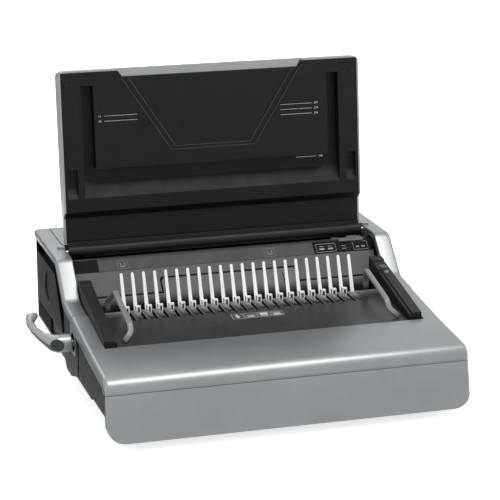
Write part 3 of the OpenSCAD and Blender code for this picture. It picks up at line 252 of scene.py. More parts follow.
# %% Floor
reach = 6.0
glow_start, glow_end = 0.26, 0.75
glow_low, glow_full, glow_for_camera = 0.30, 1.0, 0.74
sheet = rectangle("floor", (-reach, -reach, 0), (reach, reach, 0))
floor = bpy.data.objects.new("floor", sheet)
scene.collection.objects.link(floor)
paper = bpy.data.materials.new("pale_floor")
paper.use_nodes = True
paper.node_tree.nodes.clear()
distance = add(paper, "VectorMath", operation="LENGTH")
join(paper, add(paper, "TexCoord").outputs["Object"], distance.inputs[0])
growth = add(paper, "MapRange", interpolation_type="SMOOTHSTEP", From_Min=glow_start, From_Max=glow_end,
             To_Min=glow_low, To_Max=glow_full)
join(paper, distance.outputs["Value"], growth.inputs["Value"])
seen_glow = reckoned(paper, "MULTIPLY", seen_rays(paper), growth.outputs["Result"])
camera_ray = add(paper, "LightPath").outputs["Is Camera Ray"]
camera_glow = reckoned(paper, "MULTIPLY", camera_ray, glow_for_camera)
glow = add(paper, "Emission")
join(paper, reckoned(paper, "MAXIMUM", seen_glow, camera_glow), glow.inputs["Strength"])
matt = add(paper, "BsdfDiffuse", Color=(0.86, 0.86, 0.86, 1))
both = add(paper, "AddShader")
join(paper, matt.outputs[0], both.inputs[0])
join(paper, glow.outputs[0], both.inputs[1])
join(paper, both.outputs[0], add(paper, "OutputMaterial").inputs["Surface"])
sheet.materials.append(paper)
print("floor", 2 * reach, "m square")

# %% [markdown]
# ## Building a finish
# Real surfaces are never one flat colour. Moulded plastic has a fine grain from the mould, paint has
# a faint ripple, large areas vary a little, and corners that hands touch are rubbed lighter. These
# few helpers add such things as shader nodes. All of them read the object's own coordinates in
# metres, so a grain is as fine on a small key as on the lid, and it stays put when a part moves.

# %% Shader helpers
def noise(material, size, detail=2.0, stretch=(1, 1, 1)):
    """Noise whose features are about size metres across. Returns its value socket."""
    place = add(material, "TexCoord")
    scale = add(material, "Mapping", Scale=stretch)
    texture = add(material, "TexNoise", Scale=1 / size, Detail=detail, Roughness=0.55)
    join(material, place.outputs["Object"], scale.inputs["Vector"])
    join(material, scale.outputs["Vector"], texture.inputs["Vector"])
    return texture.outputs["Fac"]


def ranged(material, value, low, high, start=0.3, end=0.7):
    """Stretches a value from start..end to low..high."""
    made = add(material, "MapRange", From_Min=start, From_Max=end, To_Min=low, To_Max=high)
    join(material, value, made.inputs["Value"])
    return made.outputs["Result"]


def product(material, one, two):
    return reckoned(material, "MULTIPLY", one, two, use_clamp=True)


def inverse(material, value):
    """1 where value is 0, and 0 where it is 1."""
    return reckoned(material, "SUBTRACT", 1.0, value)


def mixed(material, factor, colour_a, colour_b):
    """Mixes two colours, each a tuple or a socket."""
    made = add(material, "Mix", data_type="RGBA")
    join(material, factor, made.inputs["Factor"])
    for name, colour in (("A", colour_a), ("B", colour_b)):
        socket = next(s for s in made.inputs if s.name == name and s.type == "RGBA")
        if isinstance(colour, tuple):
            socket.default_value = (*colour, 1)
        else:
            join(material, colour, socket)
    return next(s for s in made.outputs if s.type == "RGBA")


def bumped(material, *layers):
    """Stacks bump layers, each a (height socket, depth in metres) pair, onto the shader."""
    normal = None
    for height, depth in layers:
        bump = add(material, "Bump", Strength=1.0, Distance=depth)
        join(material, height, bump.inputs["Height"])
        if normal:
            join(material, normal, bump.inputs["Normal"])
        normal = bump.outputs["Normal"]
    join(material, normal, shader_of(material).inputs["Normal"])


def edge_mask(material, width):
    """Near 1 on outer and inner corners of the shape, and 0 on open faces."""
    rounded = add(material, "Bevel", samples=4, Radius=width)
    true = add(material, "NewGeometry")
    match = add(material, "VectorMath", operation="DOT_PRODUCT")
    join(material, rounded.outputs["Normal"], match.inputs[0])
    join(material, true.outputs["Normal"], match.inputs[1])
    return ranged(material, match.outputs["Value"], 0.0, 1.0, start=0.985, end=0.80)


print("shader helpers ready")

# %% [markdown]
# ## Silver paint
# The covers, the drawer front and the lid are moulded plastic with a satin silver paint. Such paint
# is a clear binder full of metal flakes. It can be made as a half-metallic shader: the flakes give
# a blurred mirror, and tiny changes of roughness and normal break it up. A soft mottle keeps large
# faces alive, and the corners are rubbed a touch brighter.

# %% Silver paint
def silver_paint(name, tone, roughness):
    """Satin paint, a trace cooler than grey, as bright as tone."""
    colour = tuple(tone * c for c in (0.965, 0.98, 1.0))
    material = new_finish(name, colour, roughness, metallic=0.72, specular=0.5)
    shader = shader_of(material)
    shader.inputs["Coat Weight"].default_value = 0.12
    shader.inputs["Coat Roughness"].default_value = 0.28
    mottle = ranged(material, noise(material, size=0.06, detail=3), 0.0, 1.0)
    flakes = ranged(material, noise(material, size=0.00035, detail=1), 0.0, 1.0)
    darker = tuple(c * 0.93 for c in colour)
    lighter = tuple(min(c * 1.05, 1) for c in colour)
    rubbed = tuple(min(c * 1.28, 1) for c in colour)
    body = mixed(material, mottle, darker, lighter)
    corners = edge_mask(material, width=0.0009)
    patches = ranged(material, noise(material, size=0.008, detail=3), 0.2, 0.8)
    wear_and_edge_highlight = product(material, corners, patches)
    join(material, mixed(material, wear_and_edge_highlight, body, rubbed), shader.inputs["Base Color"])
    sparkle = ranged(material, flakes, roughness - 0.03, roughness + 0.05, start=0, end=1)
    join(material, sparkle, shader.inputs["Roughness"])
    ripple = noise(material, size=0.0024, detail=2)
    bumped(material, (ripple, 0.000006), (flakes, 0.0000025))
    return material


silver = silver_paint("silver_paint", 0.29, 0.345)
lever_silver = silver_paint("lever_paint", 0.36, 0.38)
print("paint:", silver.name, lever_silver.name)

# %% [markdown]
# ## Moulded plastics
# The dark parts are bare plastic with the fine leathery grain that a spark-eroded mould leaves. The
# grain is a bump of two noises, one about as fine as sand and one coarser. Each plastic gets its
# own colour, gloss and grain. Real black plastic reflects little, so its specular level is low.

# %% Moulded plastics
def moulded(name, colour, roughness, grain=0.0005, depth=0.00001, specular=0.3, edge=1.8):
    """Plastic with mould grain, a slow change of tone, and lighter corners: wear and painted highlight."""
    material = new_finish(name, colour, roughness, specular=specular)
    shader = shader_of(material)
    tone = ranged(material, noise(material, size=0.045, detail=3), 0.0, 1.0)
    darker = tuple(c * 0.86 for c in colour)
    lighter = tuple(min(c * 1.14, 1) for c in colour)
    body = mixed(material, tone, darker, lighter)
    corners = edge_mask(material, width=0.0006)
    patches = ranged(material, noise(material, size=0.006, detail=3), 0.1, 0.9)
    wear_and_edge_highlight = product(material, corners, patches)
    worn_and_highlit = tuple(min(c * edge + 0.004, 1) for c in colour)
    join(material, mixed(material, wear_and_edge_highlight, body, worn_and_highlit), shader.inputs["Base Color"])
    scuff = ranged(material, noise(material, size=0.018, detail=4), roughness - 0.05, roughness + 0.06)
    join(material, scuff, shader.inputs["Roughness"])
    fine = noise(material, size=grain, detail=2)
    coarse = noise(material, size=grain * 3.5, detail=1)
    bumped(material, (fine, depth), (coarse, depth * 1.2))
    return material


panel_plastic = moulded("side_panel_plastic", (0.021, 0.021, 0.022), 0.50, depth=0.000014, specular=0.16)
rear_plastic = moulded("rear_panel_plastic", (0.010, 0.010, 0.0105), 0.50, depth=0.000014, specular=0.14)
black_plastic = moulded("black_plastic", (0.0065, 0.0065, 0.007), 0.46, depth=0.000010, specular=0.24)
# The liner's large edge makes its corners much lighter: a painted highlight for the light its recess edges
# catch.
liner_plastic = moulded("liner_plastic", (0.0055, 0.0055, 0.0059), 0.52, grain=0.0007, depth=0.000018,
                        specular=0.19, edge=7.0)
deck_plastic = moulded("deck_plastic", (0.070, 0.070, 0.072), 0.50, depth=0.000012, edge=1.4)
cassette_plastic = moulded("cassette_plastic", (0.028, 0.028, 0.029), 0.33, depth=0.000004, specular=0.36)
rail_plastic = moulded("rail_plastic", (0.011, 0.011, 0.0115), 0.45, depth=0.000010, specular=0.22)
handle_plastic = moulded("handle_plastic", (0.190, 0.192, 0.198), 0.34, depth=0.000005, specular=0.5,
                         edge=1.3)
grey_plastic = moulded("grey_plastic", (0.085, 0.085, 0.088), 0.42, depth=0.000006, edge=1.4)
cap_plastic = moulded("cap_plastic", (0.042, 0.042, 0.044), 0.42, depth=0.000006, edge=1.4)
white_plastic = moulded("white_plastic", (0.95, 0.95, 0.945), 0.30, depth=0.000003, specular=0.5, edge=1.03)
nylon = moulded("natural_nylon", (0.66, 0.62, 0.52), 0.42, depth=0.000004, specular=0.45, edge=1.1)
shader_of(white_plastic).inputs["Subsurface Weight"].default_value = 0.08
shader_of(white_plastic).inputs["Subsurface Radius"].default_value = (0.002, 0.002, 0.0018)
print("plastics:", len([m for m in bpy.data.materials if "plastic" in m.name]))

# %% [markdown]
# ## Finishes for the inside and the small parts
# Ground steel has fine scratches that run one way, so its noise is stretched. Rubber is rough and
# dusty. Sheet frames are powder coated, which is an orange-peel bump. The circuit board is green
# varnish over copper tracks, and the tracks are a brick pattern seen faintly through it.

# %% Metals, rubber, board and lens
def ground_steel(name, colour, roughness):
    material = new_finish(name, colour, roughness, metallic=1.0)
    shader = shader_of(material)
    scratches = noise(material, size=0.0006, detail=3, stretch=(0.04, 1, 1))
    stain = ranged(material, noise(material, size=0.02, detail=3), 0.0, 1.0)
    body = mixed(material, stain, tuple(c * 0.85 for c in colour), colour)
    join(material, body, shader.inputs["Base Color"])
    streaks = ranged(material, scratches, roughness - 0.08, roughness + 0.1)
    join(material, streaks, shader.inputs["Roughness"])
    bumped(material, (scratches, 0.000008))
    return material


def powder_coat(name, colour):
    return moulded(name, colour, 0.48, grain=0.0011, depth=0.00003, specular=0.4, edge=1.9)


def board_finish():
    green, track_green = (0.02, 0.14, 0.055), (0.05, 0.26, 0.09)
    material = new_finish("circuit_board", green, 0.32)
    place = add(material, "TexCoord")
    turned = add(material, "Mapping", Rotation=(math.pi / 2, 0, 0))
    tracks = add(material, "TexBrick", Scale=90.0, Mortar_Size=0.03)
    join(material, place.outputs["Object"], turned.inputs["Vector"])
    join(material, turned.outputs["Vector"], tracks.inputs["Vector"])
    varnish = mixed(material, tracks.outputs["Fac"], green, track_green)
    join(material, varnish, shader_of(material).inputs["Base Color"])
    bumped(material, (tracks.outputs["Fac"], 0.00003))
    return material


def lens_finish():
    material = new_finish("status_lens", (0.46, 0.48, 0.48), 0.12)
    shader = shader_of(material)
    shader.inputs["Transmission Weight"].default_value = 0.35
    shader.inputs["IOR"].default_value = 1.49
    cloud = ranged(material, noise(material, size=0.0012, detail=2), 0.08, 0.2)
    join(material, cloud, shader.inputs["Roughness"])
    bumped(material, (noise(material, size=0.0008, detail=1), 0.000004))
    return material


steel = ground_steel("ground_steel", (0.56, 0.57, 0.58), 0.28)
frame_coat = powder_coat("black_powder_coat", (0.014, 0.014, 0.015))
motor_coat = powder_coat("motor_enamel", (0.09, 0.09, 0.095))
core_coat = powder_coat("coil_varnish", (0.20, 0.10, 0.04))
rubber = moulded("rubber", (0.016, 0.016, 0.016), 0.78, grain=0.0009, depth=0.00003, specular=0.2, edge=1.5)
board = board_finish()
lens = lens_finish()
print("finishes in all:", len(bpy.data.materials))

# %% [markdown]
# ## Three finishes that change along a part
# The sliding hooks are white at their tips and black below the deck: painted shade where they run in
# their slots. The strip behind the fingers is charcoal, with deep black ends, and the right one carries
# symbols. The cassette has a trough along its rear that hardly any light reaches; it gets painted shade,
# a near-black colour with little reflection. The tops of the ribs between its slots get a painted
# highlight, lighter towards the rear. Each is one moulding, so its colour is chosen by where a point
# lies on it.

# %% Finishes chosen by place
def lies_above(material, axis, limit, softness=0.0002):
    """1 where the object's own coordinate on an axis (0, 1 or 2) is above limit, in metres."""
    place = add(material, "TexCoord")
    parts = add(material, "SeparateXYZ")
    join(material, place.outputs["Object"], parts.inputs[0])
    return ranged(material, parts.outputs[axis], 0.0, 1.0, limit - softness, limit + softness)


def recolour(material, factor, other):
    """Mixes another colour over what already feeds the base colour."""
    socket = shader_of(material).inputs["Base Color"]
    before = socket.links[0].from_socket
    join(material, mixed(material, factor, before, other), socket)


def dulled(material, factor, level, other):
    """Lowers the reflection of bare plastic from level to other where factor is 1."""
    faded = ranged(material, factor, level, other, start=0.0, end=1.0)
    join(material, faded, shader_of(material).inputs["Specular IOR Level"])


def between(material, axis, low, high, softness):
    """1 where the object's own coordinate on an axis lies between low and high, in metres."""
    below = inverse(material, lies_above(material, axis, high, softness))
    return product(material, lies_above(material, axis, low, softness), below)


print("finishes can change by place")

# %% Hooks
across, behind, above = 0, 1, 2
hook_plastic = moulded("hook_plastic", (0.93, 0.93, 0.925), 0.32, depth=0.000003, specular=0.5, edge=1.03)
# Below the deck top the hooks run in their slots, so that part gets painted shade: black.
black_below = at(0, 0, 96).z
painted_slot_shade = inverse(hook_plastic, lies_above(hook_plastic, above, black_below))
recolour(hook_plastic, painted_slot_shade, (0.010, 0.010, 0.010))
print("hooks turn black below", round(black_below, 4))

# %% Strip
strip_plastic = moulded("strip_plastic", (0.040, 0.040, 0.042), 0.42, depth=0.000006, specular=0.2)
charcoal_from, charcoal_to = at(-167, 0, 0).x, at(121, 0, 0).x
right_end = lies_above(strip_plastic, across, charcoal_to)
left_end = inverse(strip_plastic, lies_above(strip_plastic, across, charcoal_from))
ends = reckoned(strip_plastic, "ADD", right_end, left_end)
recolour(strip_plastic, ends, (0.006, 0.006, 0.006))
dulled(strip_plastic, ends, 0.2, 0.05)
print("strip is charcoal from", round(charcoal_from, 4), "to", round(charcoal_to, 4))

# %% Painted shade in the trough and a painted highlight on the ribs
# The trough gets painted shade: a near-black colour and little reflection.
trough_foot, trough_top, trough_start = at(0, 0, 80).z, at(0, 0, 103).z, at(0, 222, 0).y
painted_trough_shade = product(cassette_plastic, between(cassette_plastic, above, trough_foot, trough_top, 5.5 * MM),
                 lies_above(cassette_plastic, behind, trough_start, 2.5 * MM))
recolour(cassette_plastic, painted_trough_shade, (0.003, 0.003, 0.003))
dulled(cassette_plastic, painted_trough_shade, 0.36, 0.02)
# The rib tops get a painted highlight: a lighter colour that grows towards the rear.
rib_start, rib_middle, rib_end = at(0, 184, 0).y, at(0, 199, 0).y, at(0, 217, 0).y
rib_foot = at(0, 0, 98.9).z
painted_rib_highlight = product(cassette_plastic, between(cassette_plastic, behind, rib_start, rib_end, 3 * MM),
               lies_above(cassette_plastic, above, rib_foot, 0.4 * MM))
painted_rib_highlight = product(cassette_plastic, painted_rib_highlight, lies_above(cassette_plastic, behind, rib_middle, 15 * MM))
recolour(cassette_plastic, painted_rib_highlight, (0.36, 0.36, 0.364))
print("trough behind", round(trough_start, 4), "ribs from", round(rib_start, 4), "to", round(rib_end, 4))

# %% [markdown]
# ## Soft edges
# A computer model has knife edges, and a moulding never has: every edge is rounded by a fraction of
# a millimetre, and that round is what catches the light. Each shell is copied, its triangles are
# merged back into whole faces, and a bevel rounds every edge sharper than a chosen angle. The
# bevel hardens the normals, so flat faces stay flat in the light and only the rounds curve.

# %% The edge softener
weld = 0.000004
flat = math.radians(0.25)
sharp = math.radians(32)
round_segments = 3
most_corners = 8


def solid_copy(node):
    """A mesh of a node with its seams welded and its flat faces whole."""
    work = bmesh.new()
    work.from_mesh(frame["nodes"][node].data)
    bmesh.ops.remove_doubles(work, verts=work.verts, dist=weld)
    bmesh.ops.dissolve_limit(work, angle_limit=flat, verts=work.verts, edges=work.edges)
    bmesh.ops.triangulate(work, faces=[face for face in work.faces if len(face.verts) > most_corners])
    for face in work.faces:
        face.smooth = True
    mesh = bpy.data.meshes.new(node + "_skin")
    work.to_mesh(mesh)
    work.free()
    if "custom_normal" in mesh.attributes:
        mesh.attributes.remove(mesh.attributes["custom_normal"])
    return mesh


def stand_in(name, mesh, material, node):
    """Shows a mesh in place of a node, on the same body."""
    mesh.materials.clear()
    mesh.materials.append(material)
    piece = bpy.data.objects.new(name, mesh)
    scene.collection.objects.link(piece)
    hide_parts(node)
    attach(piece, rides_on[node])
    return piece


def settle(piece):
    """Replaces a piece's mesh by what its modifiers make of it."""
    view = bpy.context.evaluated_depsgraph_get()
    mesh = bpy.data.meshes.new_from_object(piece.evaluated_get(view))
    piece.modifiers.clear()
    piece.data = mesh


def soften(node, material, width):
    """Shows a node with every sharp edge rounded by width millimetres."""
    piece = stand_in(node + "_skin", solid_copy(node), material, node)
    bevel = piece.modifiers.new("round", "BEVEL")
    bevel.width = width * MM
    bevel.segments = round_segments
    bevel.limit_method = "ANGLE"
    bevel.angle_limit = sharp
    bevel.harden_normals = True
    bevel.miter_outer = "MITER_ARC"
    bevel.use_clamp_overlap = True
    settle(piece)
    return piece


print("edge softener ready")

# %% [markdown]
# ## Faces in the dark
# Where a light piece looks into a seam or a slot, hardly any light reaches it, and the seam shows as
# a dark line. In a room this white such a line would come out pale, so those faces get a black
# finish of their own. Each rule below picks them by their middle, in millimetres from the front
# seam, and by the way they face.

# %% Dark faces
seam_depth = 30
cassette_rear = 249
slots_from, slots_to, slots_half_width = 176, 216, 160
sideways = 0.7


def under_the_nose(middle, normal):
    return normal.z < -0.2 and middle.y < seam_depth


def top_of_the_drawer(middle, normal):
    return normal.z > 0.4


def deck_edges(middle, normal):
    return abs(normal.z) < 0.70


def cassette_seams(middle, normal):
    rear = abs(normal.z) < 0.68 and middle.y > cassette_rear
    near_slots = slots_from < middle.y < slots_to and abs(middle.x) < slots_half_width
    return rear or abs(normal.x) > sideways and near_slots


def hook_sides(middle, normal):
    return abs(normal.x) > sideways


dark_faces = {
    "front_cover": under_the_nose, "drawer_front": top_of_the_drawer, "deck_panel": deck_edges,
    "cassette_body": cassette_seams, "hook_plate": hook_sides,
}


def dress(pieces):
    """Softens each piece of a table, blackens its dark faces, and says how many faces it has."""
    for node, (material, width) in pieces.items():
        skin = soften(node, material, width)
        if node in dark_faces:
            skin.data.materials.append(black_plastic)
            for face in skin.data.polygons:
                if dark_faces[node]((face.center - home) / MM, face.normal):
                    face.material_index = 1
        print(skin.name, len(skin.data.polygons), "faces")


print("dark faces on:", list(dark_faces))

# %% [markdown]
# ## The housing
# The silver covers meet in tight seams, so their edge rounds are small and the seams stay hairlines.
# The dark panels and the housing of the lever are softer. Each row of the table names a piece, its
# finish and the size of its edge round in millimetres.

# %% Covers and panels
housing = {
    "front_cover": (silver, 0.35), "arm_cover_left": (silver, 0.3), "arm_cover_right": (silver, 0.3),
    "rear_deck_cover": (silver, 0.15), "drawer_front": (silver, 0.4), "lever_escutcheon": (silver, 0.5),
    "front_side_panel_left": (panel_plastic, 0.5), "front_side_panel_right": (panel_plastic, 0.5),
    "rear_side_panel_left": (rear_plastic, 0.6), "rear_side_panel_right": (rear_plastic, 0.6),
    "rear_cover": (rear_plastic, 0.4), "side_plugs": (rear_plastic, 0.6),
    "louvre_left": (black_plastic, 0.3), "louvre_right": (black_plastic, 0.3),
    "carry_grips": (black_plastic, 0.4), "lever_housing": (black_plastic, 0.8),
}
dress(housing)

# %% [markdown]
# ## The binding well
# The well holds the deck behind the fingers, the strip along the paper slot and the two rails. They
# are darker than the housing, so their edges show mostly as thin lighter lines.

# %% Deck, strip and rails
well = {
    "deck_panel": (deck_plastic, 0.9), "slot_strip": (strip_plastic, 0.5),
    "paper_guide": (black_plastic, 0.6), "rail_left_rear": (rail_plastic, 0.7),
    "rail_left_front": (rail_plastic, 0.7), "rail_right": (rail_plastic, 0.7),
    "well_floor": (black_plastic, 0.4), "edge_guide": (grey_plastic, 0.5),
    "punch_key": (grey_plastic, 0.7), "status_lens": (lens, 0.5),
}
dress(well)

# %% [markdown]
# ## The cassette
# The cassette lifts out with its fingers and hooks. The fingers are thin blades with round tips, so
# their bevel is small. The ribs between the slots are smooth mounds that run into the deck.

# %% Cassette, fingers and hooks
cassette = {
    "cassette_body": (cassette_plastic, 0.35), "finger_comb": (white_plastic, 0.35),
    "hook_plate": (hook_plastic, 0.25),
}
dress(cassette)

# %% [markdown]
# ## The cassette handles
# Each handle is one flat bar bent four ways: a foot on the deck, a long slope, and a second foot at
# the back. A bent bar never has a sharp corner, so the path gets a short curve at each bend, and a
# flat section with round edges is drawn along it.

# %% Bent bars
bend_steps = 8
section_points = 24
squareness = 0.55


def with_bends(points, start):
    """The path through points, each inner corner replaced by a curve that begins start away from it."""
    path = [points[0]]
    for before, corner, after in zip(points, points[1:], points[2:]):
        one = corner + (before - corner).normalized() * start
        two = corner + (after - corner).normalized() * start
        steps = [i / bend_steps for i in range(bend_steps + 1)]
        path += [one.lerp(corner, t).lerp(corner.lerp(two, t), t) for t in steps]
    return path + [points[-1]]


def bar_section(half_width, half_height):
    """Points round a flat bar: a rectangle with soft corners, between an ellipse and a box."""
    section = []
    for i in range(section_points):
        angle = i * math.pi / (section_points / 2)
        c, s = math.cos(angle), math.sin(angle)
        section.append((math.copysign(abs(c) ** squareness, c) * half_width,
                        math.copysign(abs(s) ** squareness, s) * half_height))
    return section


def bent_bar(work, path, section):
    """Adds a bar of that section along a path. Its width lies along X."""
    rings = []
    for i, place in enumerate(path):
        along = (path[min(i + 1, len(path) - 1)] - path[max(i - 1, 0)]).normalized()
        up = along.cross(Vector((1, 0, 0))).normalized()
        side = up.cross(along)
        rings.append([work.verts.new(place + side * x + up * z) for x, z in section])
    for one, two in zip(rings, rings[1:]):
        for i in range(section_points):
            work.faces.new((one[i - 1], one[i], two[i], two[i - 1])).smooth = True
    work.faces.new(rings[0])
    work.faces.new(rings[-1][::-1])


print("bars of", section_points, "points round")

# %% Handles
# each corner is right of the middle, behind the seam and above the table
handle_corners = [(174.5, 112.5, 93.9), (164.5, 120, 102.8), (164.5, 127, 111.3),
                  (164.5, 205.2, 129.3), (170.5, 223, 111), (170.5, 222.4, 99.4)]
section = bar_section(half_width=0.0035, half_height=0.0021)
work = bmesh.new()
for side in (-1, 1):
    corners = [at(side * x, y, z) for x, y, z in handle_corners]
    bent_bar(work, with_bends(corners, start=0.0045), section)
bmesh.ops.recalc_face_normals(work, faces=work.faces)
mesh = bpy.data.meshes.new("handles")
work.to_mesh(mesh)
work.free()
stand_in("cassette_handle_bars", mesh, handle_plastic, "cassette_handles")
print("handle bars:", len(mesh.polygons), "faces")

# %% [markdown]
# ## The comb lever
# The lever is cast in one piece, so its hub, its arm and the flat end for the thumb flow into each
# other. The construction joins simple balls and rods. A fine voxel skin is drawn over them and
# then relaxed, which melts the joints together the way a casting does.

# %% Lever and its cap
skin_cell = 0.0007
lever = stand_in("comb_lever_skin", solid_copy("comb_lever"), lever_silver, "comb_lever")
remesh = lever.modifiers.new("skin", "REMESH")
remesh.mode = "VOXEL"
remesh.voxel_size = skin_cell
remesh.use_smooth_shade = True
relax = lever.modifiers.new("relax", "SMOOTH")
relax.factor = 0.5
relax.iterations = 10
settle(lever)
lever.data.materials.clear()
lever.data.materials.append(lever_silver)
soften("lever_cap", cap_plastic, 0.6)
soften("lever_shaft", steel, 0.2)
print("lever:", len(lever.data.polygons), "faces")

# %% [markdown]
# ## Printed marks
# The pale marks are ink a few hundredths of a millimetre thick. Each is a flat outline on its
# surface, given a little thickness so that it never fights with the plastic below. A surface is
# described by one function that turns two sheet coordinates, in millimetres, into a place.

# %% Inks and surfaces
ink = moulded("pale_ink", (0.55, 0.55, 0.56), 0.55, grain=0.0008, depth=0.000006, edge=1.0)
dim_ink = moulded("dim_ink", (0.16, 0.16, 0.165), 0.55, grain=0.0008, depth=0.000006, edge=1.0)
mid_ink = moulded("mid_ink", (0.30, 0.30, 0.305), 0.55, grain=0.0008, depth=0.000006, edge=1.0)
# A paler plastic for the lines on the grip lips: a painted highlight.
lip_painted_highlight = moulded("lip_highlight_plastic", (0.055, 0.055, 0.057), 0.42, grain=0.0007, depth=0.000008, edge=1.3)
ink_film = 0.06
hinge = next(joint for joint in frame["record"]["behaviour"]["joints"] if joint["name"] == "lid_hinge")
lean = math.radians(5.3)
strip_start, strip_height, strip_slope = 255, 108.7, 0.85
deck_start, deck_height, deck_rise, deck_length = 101, 90.2, 8, 75.5


def on_liner(u, v, sunk=0.8):
    """A place on the open lid's liner: u to the right, v up the lid from its hinge."""
    depth = sunk - ink_film
    back = depth * math.cos(lean) + v * math.sin(lean)
    up = v * math.cos(lean) - depth * math.sin(lean)
    return Vector((home.x + u * MM, hinge["pos_m"][1] + back * MM, hinge["pos_m"][2] + up * MM))


def on_strip(u, v):
    """A place on the sloping strip in front of the paper slot: v is the distance behind the seam."""
    return at(u, v, strip_height + strip_slope * (v - strip_start) + ink_film)


def on_deck(u, v):
    """A place on the front of the cassette: v is the distance behind the seam."""
    return at(u, v, deck_height + deck_rise * (v - deck_start) / deck_length + ink_film)


print("inks:", ink.name, mid_ink.name, dim_ink.name)

# %% Printing
def bar(u0, v0, u1, v1):
    return [(u0, v0), (u1, v0), (u1, v1), (u0, v1)]


def outline(u0, v0, u1, v1, stroke):
    """Four thin bars round a rectangle."""
    return [bar(u0, v0, u1, v0 + stroke), bar(u0, v1 - stroke, u1, v1),
            bar(u0, v0 + stroke, u0 + stroke, v1 - stroke), bar(u1 - stroke, v0 + stroke, u1, v1 - stroke)]


def figures(text, u, v, height):
    """Triangles of a number, its lower left corner at u, v. A figure is 0.7 of the type size high."""
    curve = bpy.data.curves.new("figures", "FONT")
    curve.body = text
    curve.size = height / 0.7
    curve.resolution_u = 3
    holder = bpy.data.objects.new("figures", curve)
    scene.collection.objects.link(holder)
    mesh = bpy.data.meshes.new_from_object(holder.evaluated_get(bpy.context.evaluated_depsgraph_get()))
    places = [(u + vertex.co.x, v + vertex.co.y) for vertex in mesh.vertices]
    bpy.data.objects.remove(holder)
    return [[places[i] for i in face.vertices] for face in mesh.polygons]


def printed(name, shapes, place, node, material):
    """Ink in the given shapes, laid on a surface and moving with a node."""
    work = bmesh.new()
    for shape in shapes:
        work.faces.new([work.verts.new(place(u, v)) for u, v in shape])
    bmesh.ops.remove_doubles(work, verts=work.verts, dist=0.00001)
    mesh = bpy.data.meshes.new(name)
    work.to_mesh(mesh)
    work.free()
    mesh.materials.append(material)
    piece = bpy.data.objects.new(name, mesh)
    scene.collection.objects.link(piece)
    film = piece.modifiers.new("film", "SOLIDIFY")
    film.thickness = ink_film * MM
    film.offset = -1
    settle(piece)
    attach(piece, rides_on[node])


print("printing ready, film", ink_film, "mm")

# %% [markdown]
# The lid carries short lines with numbers that show where a sheet of a given size reaches, in
# millimetres on the right and inches on the left.

# %% Size marks
half_stroke = 0.2
figure_height, figure_drop = 2.6, 1.2


def size_mark(number, v, left, right, figures_at):
    """A line across the lid at height v, and its number."""
    line = bar(left, v - half_stroke, right, v + half_stroke)
    return [line] + figures(number, figures_at, v - figure_drop, figure_height)


marks = []
for number, v in (("297", 172.6), ("279", 166.0), ("254", 159.4)):
    marks += size_mark(number, v, 92, 135, 138)
marks += size_mark("148", 102, 112, 140, 143)
for number, v in (("11", 172.0), ("10", 165.4)):
    marks += size_mark(number, v, -143, -100, -151)
printed("size_marks", marks, on_liner, "lid_liner", ink)
print("size marks:", len(marks), "shapes")

# %% [markdown]
# A grip field is sunk into the liner in two steps, narrow at its foot and wide towards the lid's
# end. The lips of both steps catch the light, so each gets a painted highlight: a hair-thin line of
# paler plastic.

# %% Painted highlights on the lips
lid_end = 231.6
lips_short = 11.6
lips_end = lid_end - lips_short
lip_height, lip_width = 0.5, 0.7
for name, foot, head, low, sunk in (("outer", 56, 126, 124, 0.8), ("inner", 50, 117, 128, 2.4)):
    wide = foot + (head - foot) * (lips_end - low) / (lid_end - low)
    lips = [bar(-foot, low - lip_height, foot, low)]
    for side in (-1, 1):
        lips.append([(side * foot, low), (side * (foot + lip_width), low),
                     (side * (wide + lip_width), lips_end), (side * wide, lips_end)])
    printed("grip_lip_" + name, lips, lambda u, v: on_liner(u, v, sunk), "lid_liner", lip_painted_highlight)
print("lips end at", lips_end)

# %% [markdown]
# The strip has small framed symbols on its black right end, with a pair of bars between them. Two
# dimmer frames, each with a U-shaped sign, stand on its charcoal middle and left.

# %% Strip symbols
frame_front, frame_back, frame_stroke = 284.6, 294.6, 0.35


def framed(left, right):
    """A thin frame on the strip."""
    return outline(left, frame_front, right, frame_back, frame_stroke)


symbols = framed(125, 152) + [bar(129, 287.5, 136, 289.3), bar(141, 287.5, 148, 289.3)]
symbols += [bar(129.5, 291.2, 135.5, 291.7), bar(141.5, 291.2, 147.5, 291.7)]
symbols += framed(176, 196) + [bar(180, 287.5, 184, 289), bar(187.5, 287.5, 192, 289)]
symbols += [bar(160, 290.2, 166, 290.7), bar(160, 287.0, 166, 287.5)]
printed("strip_symbols", symbols, on_strip, "slot_strip", mid_ink)
frames = framed(54, 68) + framed(-142, -128)
for u in (57.5, -138.5):
    frames += [bar(u, 287, u + 7, 288.2), bar(u, 289, u + 1.2, 292), bar(u + 5.8, 289, u + 7, 292)]
printed("strip_frames", frames, on_strip, "slot_strip", dim_ink)
print("strip:", len(symbols) + len(frames), "shapes")

# %% [markdown]
# A row of four pictures on the cassette explains the work: pull the lever, open the comb, lay the
# sheets on it, close it again. A comb is a spine with four teeth.

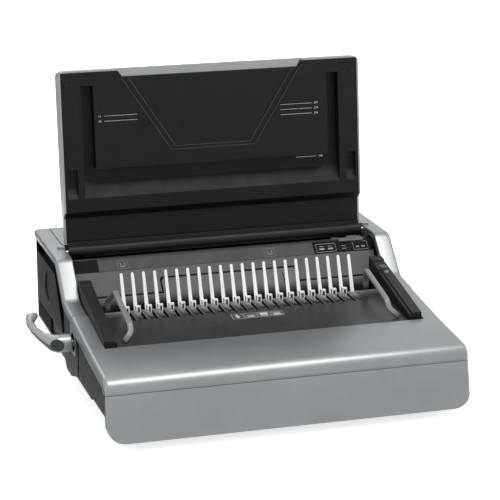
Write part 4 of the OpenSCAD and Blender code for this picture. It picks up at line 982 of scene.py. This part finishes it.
# %% Cassette pictures
picture_width, picture_step, pictures_left = 15, 17, -27
picture_foot, picture_head, picture_stroke = 153, 168, 0.4


def teeth(u, foot, head):
    """The four teeth of a small comb, each 1 wide and 2.4 from the next."""
    return [bar(u + 2.4 * i, foot, u + 1 + 2.4 * i, head) for i in range(4)]


pictures = []
for column in range(4):
    u = pictures_left + column * picture_step
    pictures += outline(u, picture_foot, u + picture_width, picture_head, picture_stroke)
pictures += [bar(-21, 156, -18.4, 165), bar(-23, 159.4, -16.4, 161.4)]
pictures += [[(-22, 165), (-17.4, 165), (-19.7, 167)]]
pictures += [bar(-7.5, 156, 2.5, 157.6)] + teeth(-7, 157.6, 163)
pictures += [bar(9.5, 156, 19.5, 157.6), bar(9.5, 161, 19.5, 165.5)] + teeth(10, 157.6, 161)
pictures += [bar(26.5, 156, 36.5, 159)] + teeth(27, 159, 165)
printed("cassette_pictures", pictures, on_deck, "cassette_body", ink)
print("pictures:", len(pictures), "shapes")

# %% [markdown]
# ## The lid
# The lid is a silver shell with a black liner let into its inner face, hinged on a long barrel.

# %% Lid
lid = {
    "lid_shell": (silver, 0.8), "lid_liner": (liner_plastic, 0.5), "lid_barrel": (black_plastic, 0.4),
    "lid_bumpers": (rubber, 0.4),
}
dress(lid)

# %% [markdown]
# ## The rest of the frame
# The pieces inside and below keep their exact shape. They only need their finishes, which go into
# the material slots of the loaded objects.

# %% Finishes of the inner pieces
inner = {
    black_plastic: ["base_tray", "drawer_tray", "power_inlet", "switch_body", "power_rocker"],
    frame_coat: ["side_frame_left", "side_frame_right", "gear_bracket", "cover_screws"],
    steel: ["die_plate", "guide_plate", "paper_stop", "bar_guide_rods", "hinge_pins", "punch_bar",
            "punch_pins", "camshaft", "motor_pinion"],
    nylon: ["reduction_gear"], motor_coat: ["motor"], core_coat: ["transformer"], board: ["control_board"],
    rubber: ["feet"],
}
for material, nodes in inner.items():
    for node in nodes:
        mesh = frame["nodes"][node].data
        mesh.materials.clear()
        mesh.materials.append(material)
print("inner pieces:", sum(len(nodes) for nodes in inner.values()))
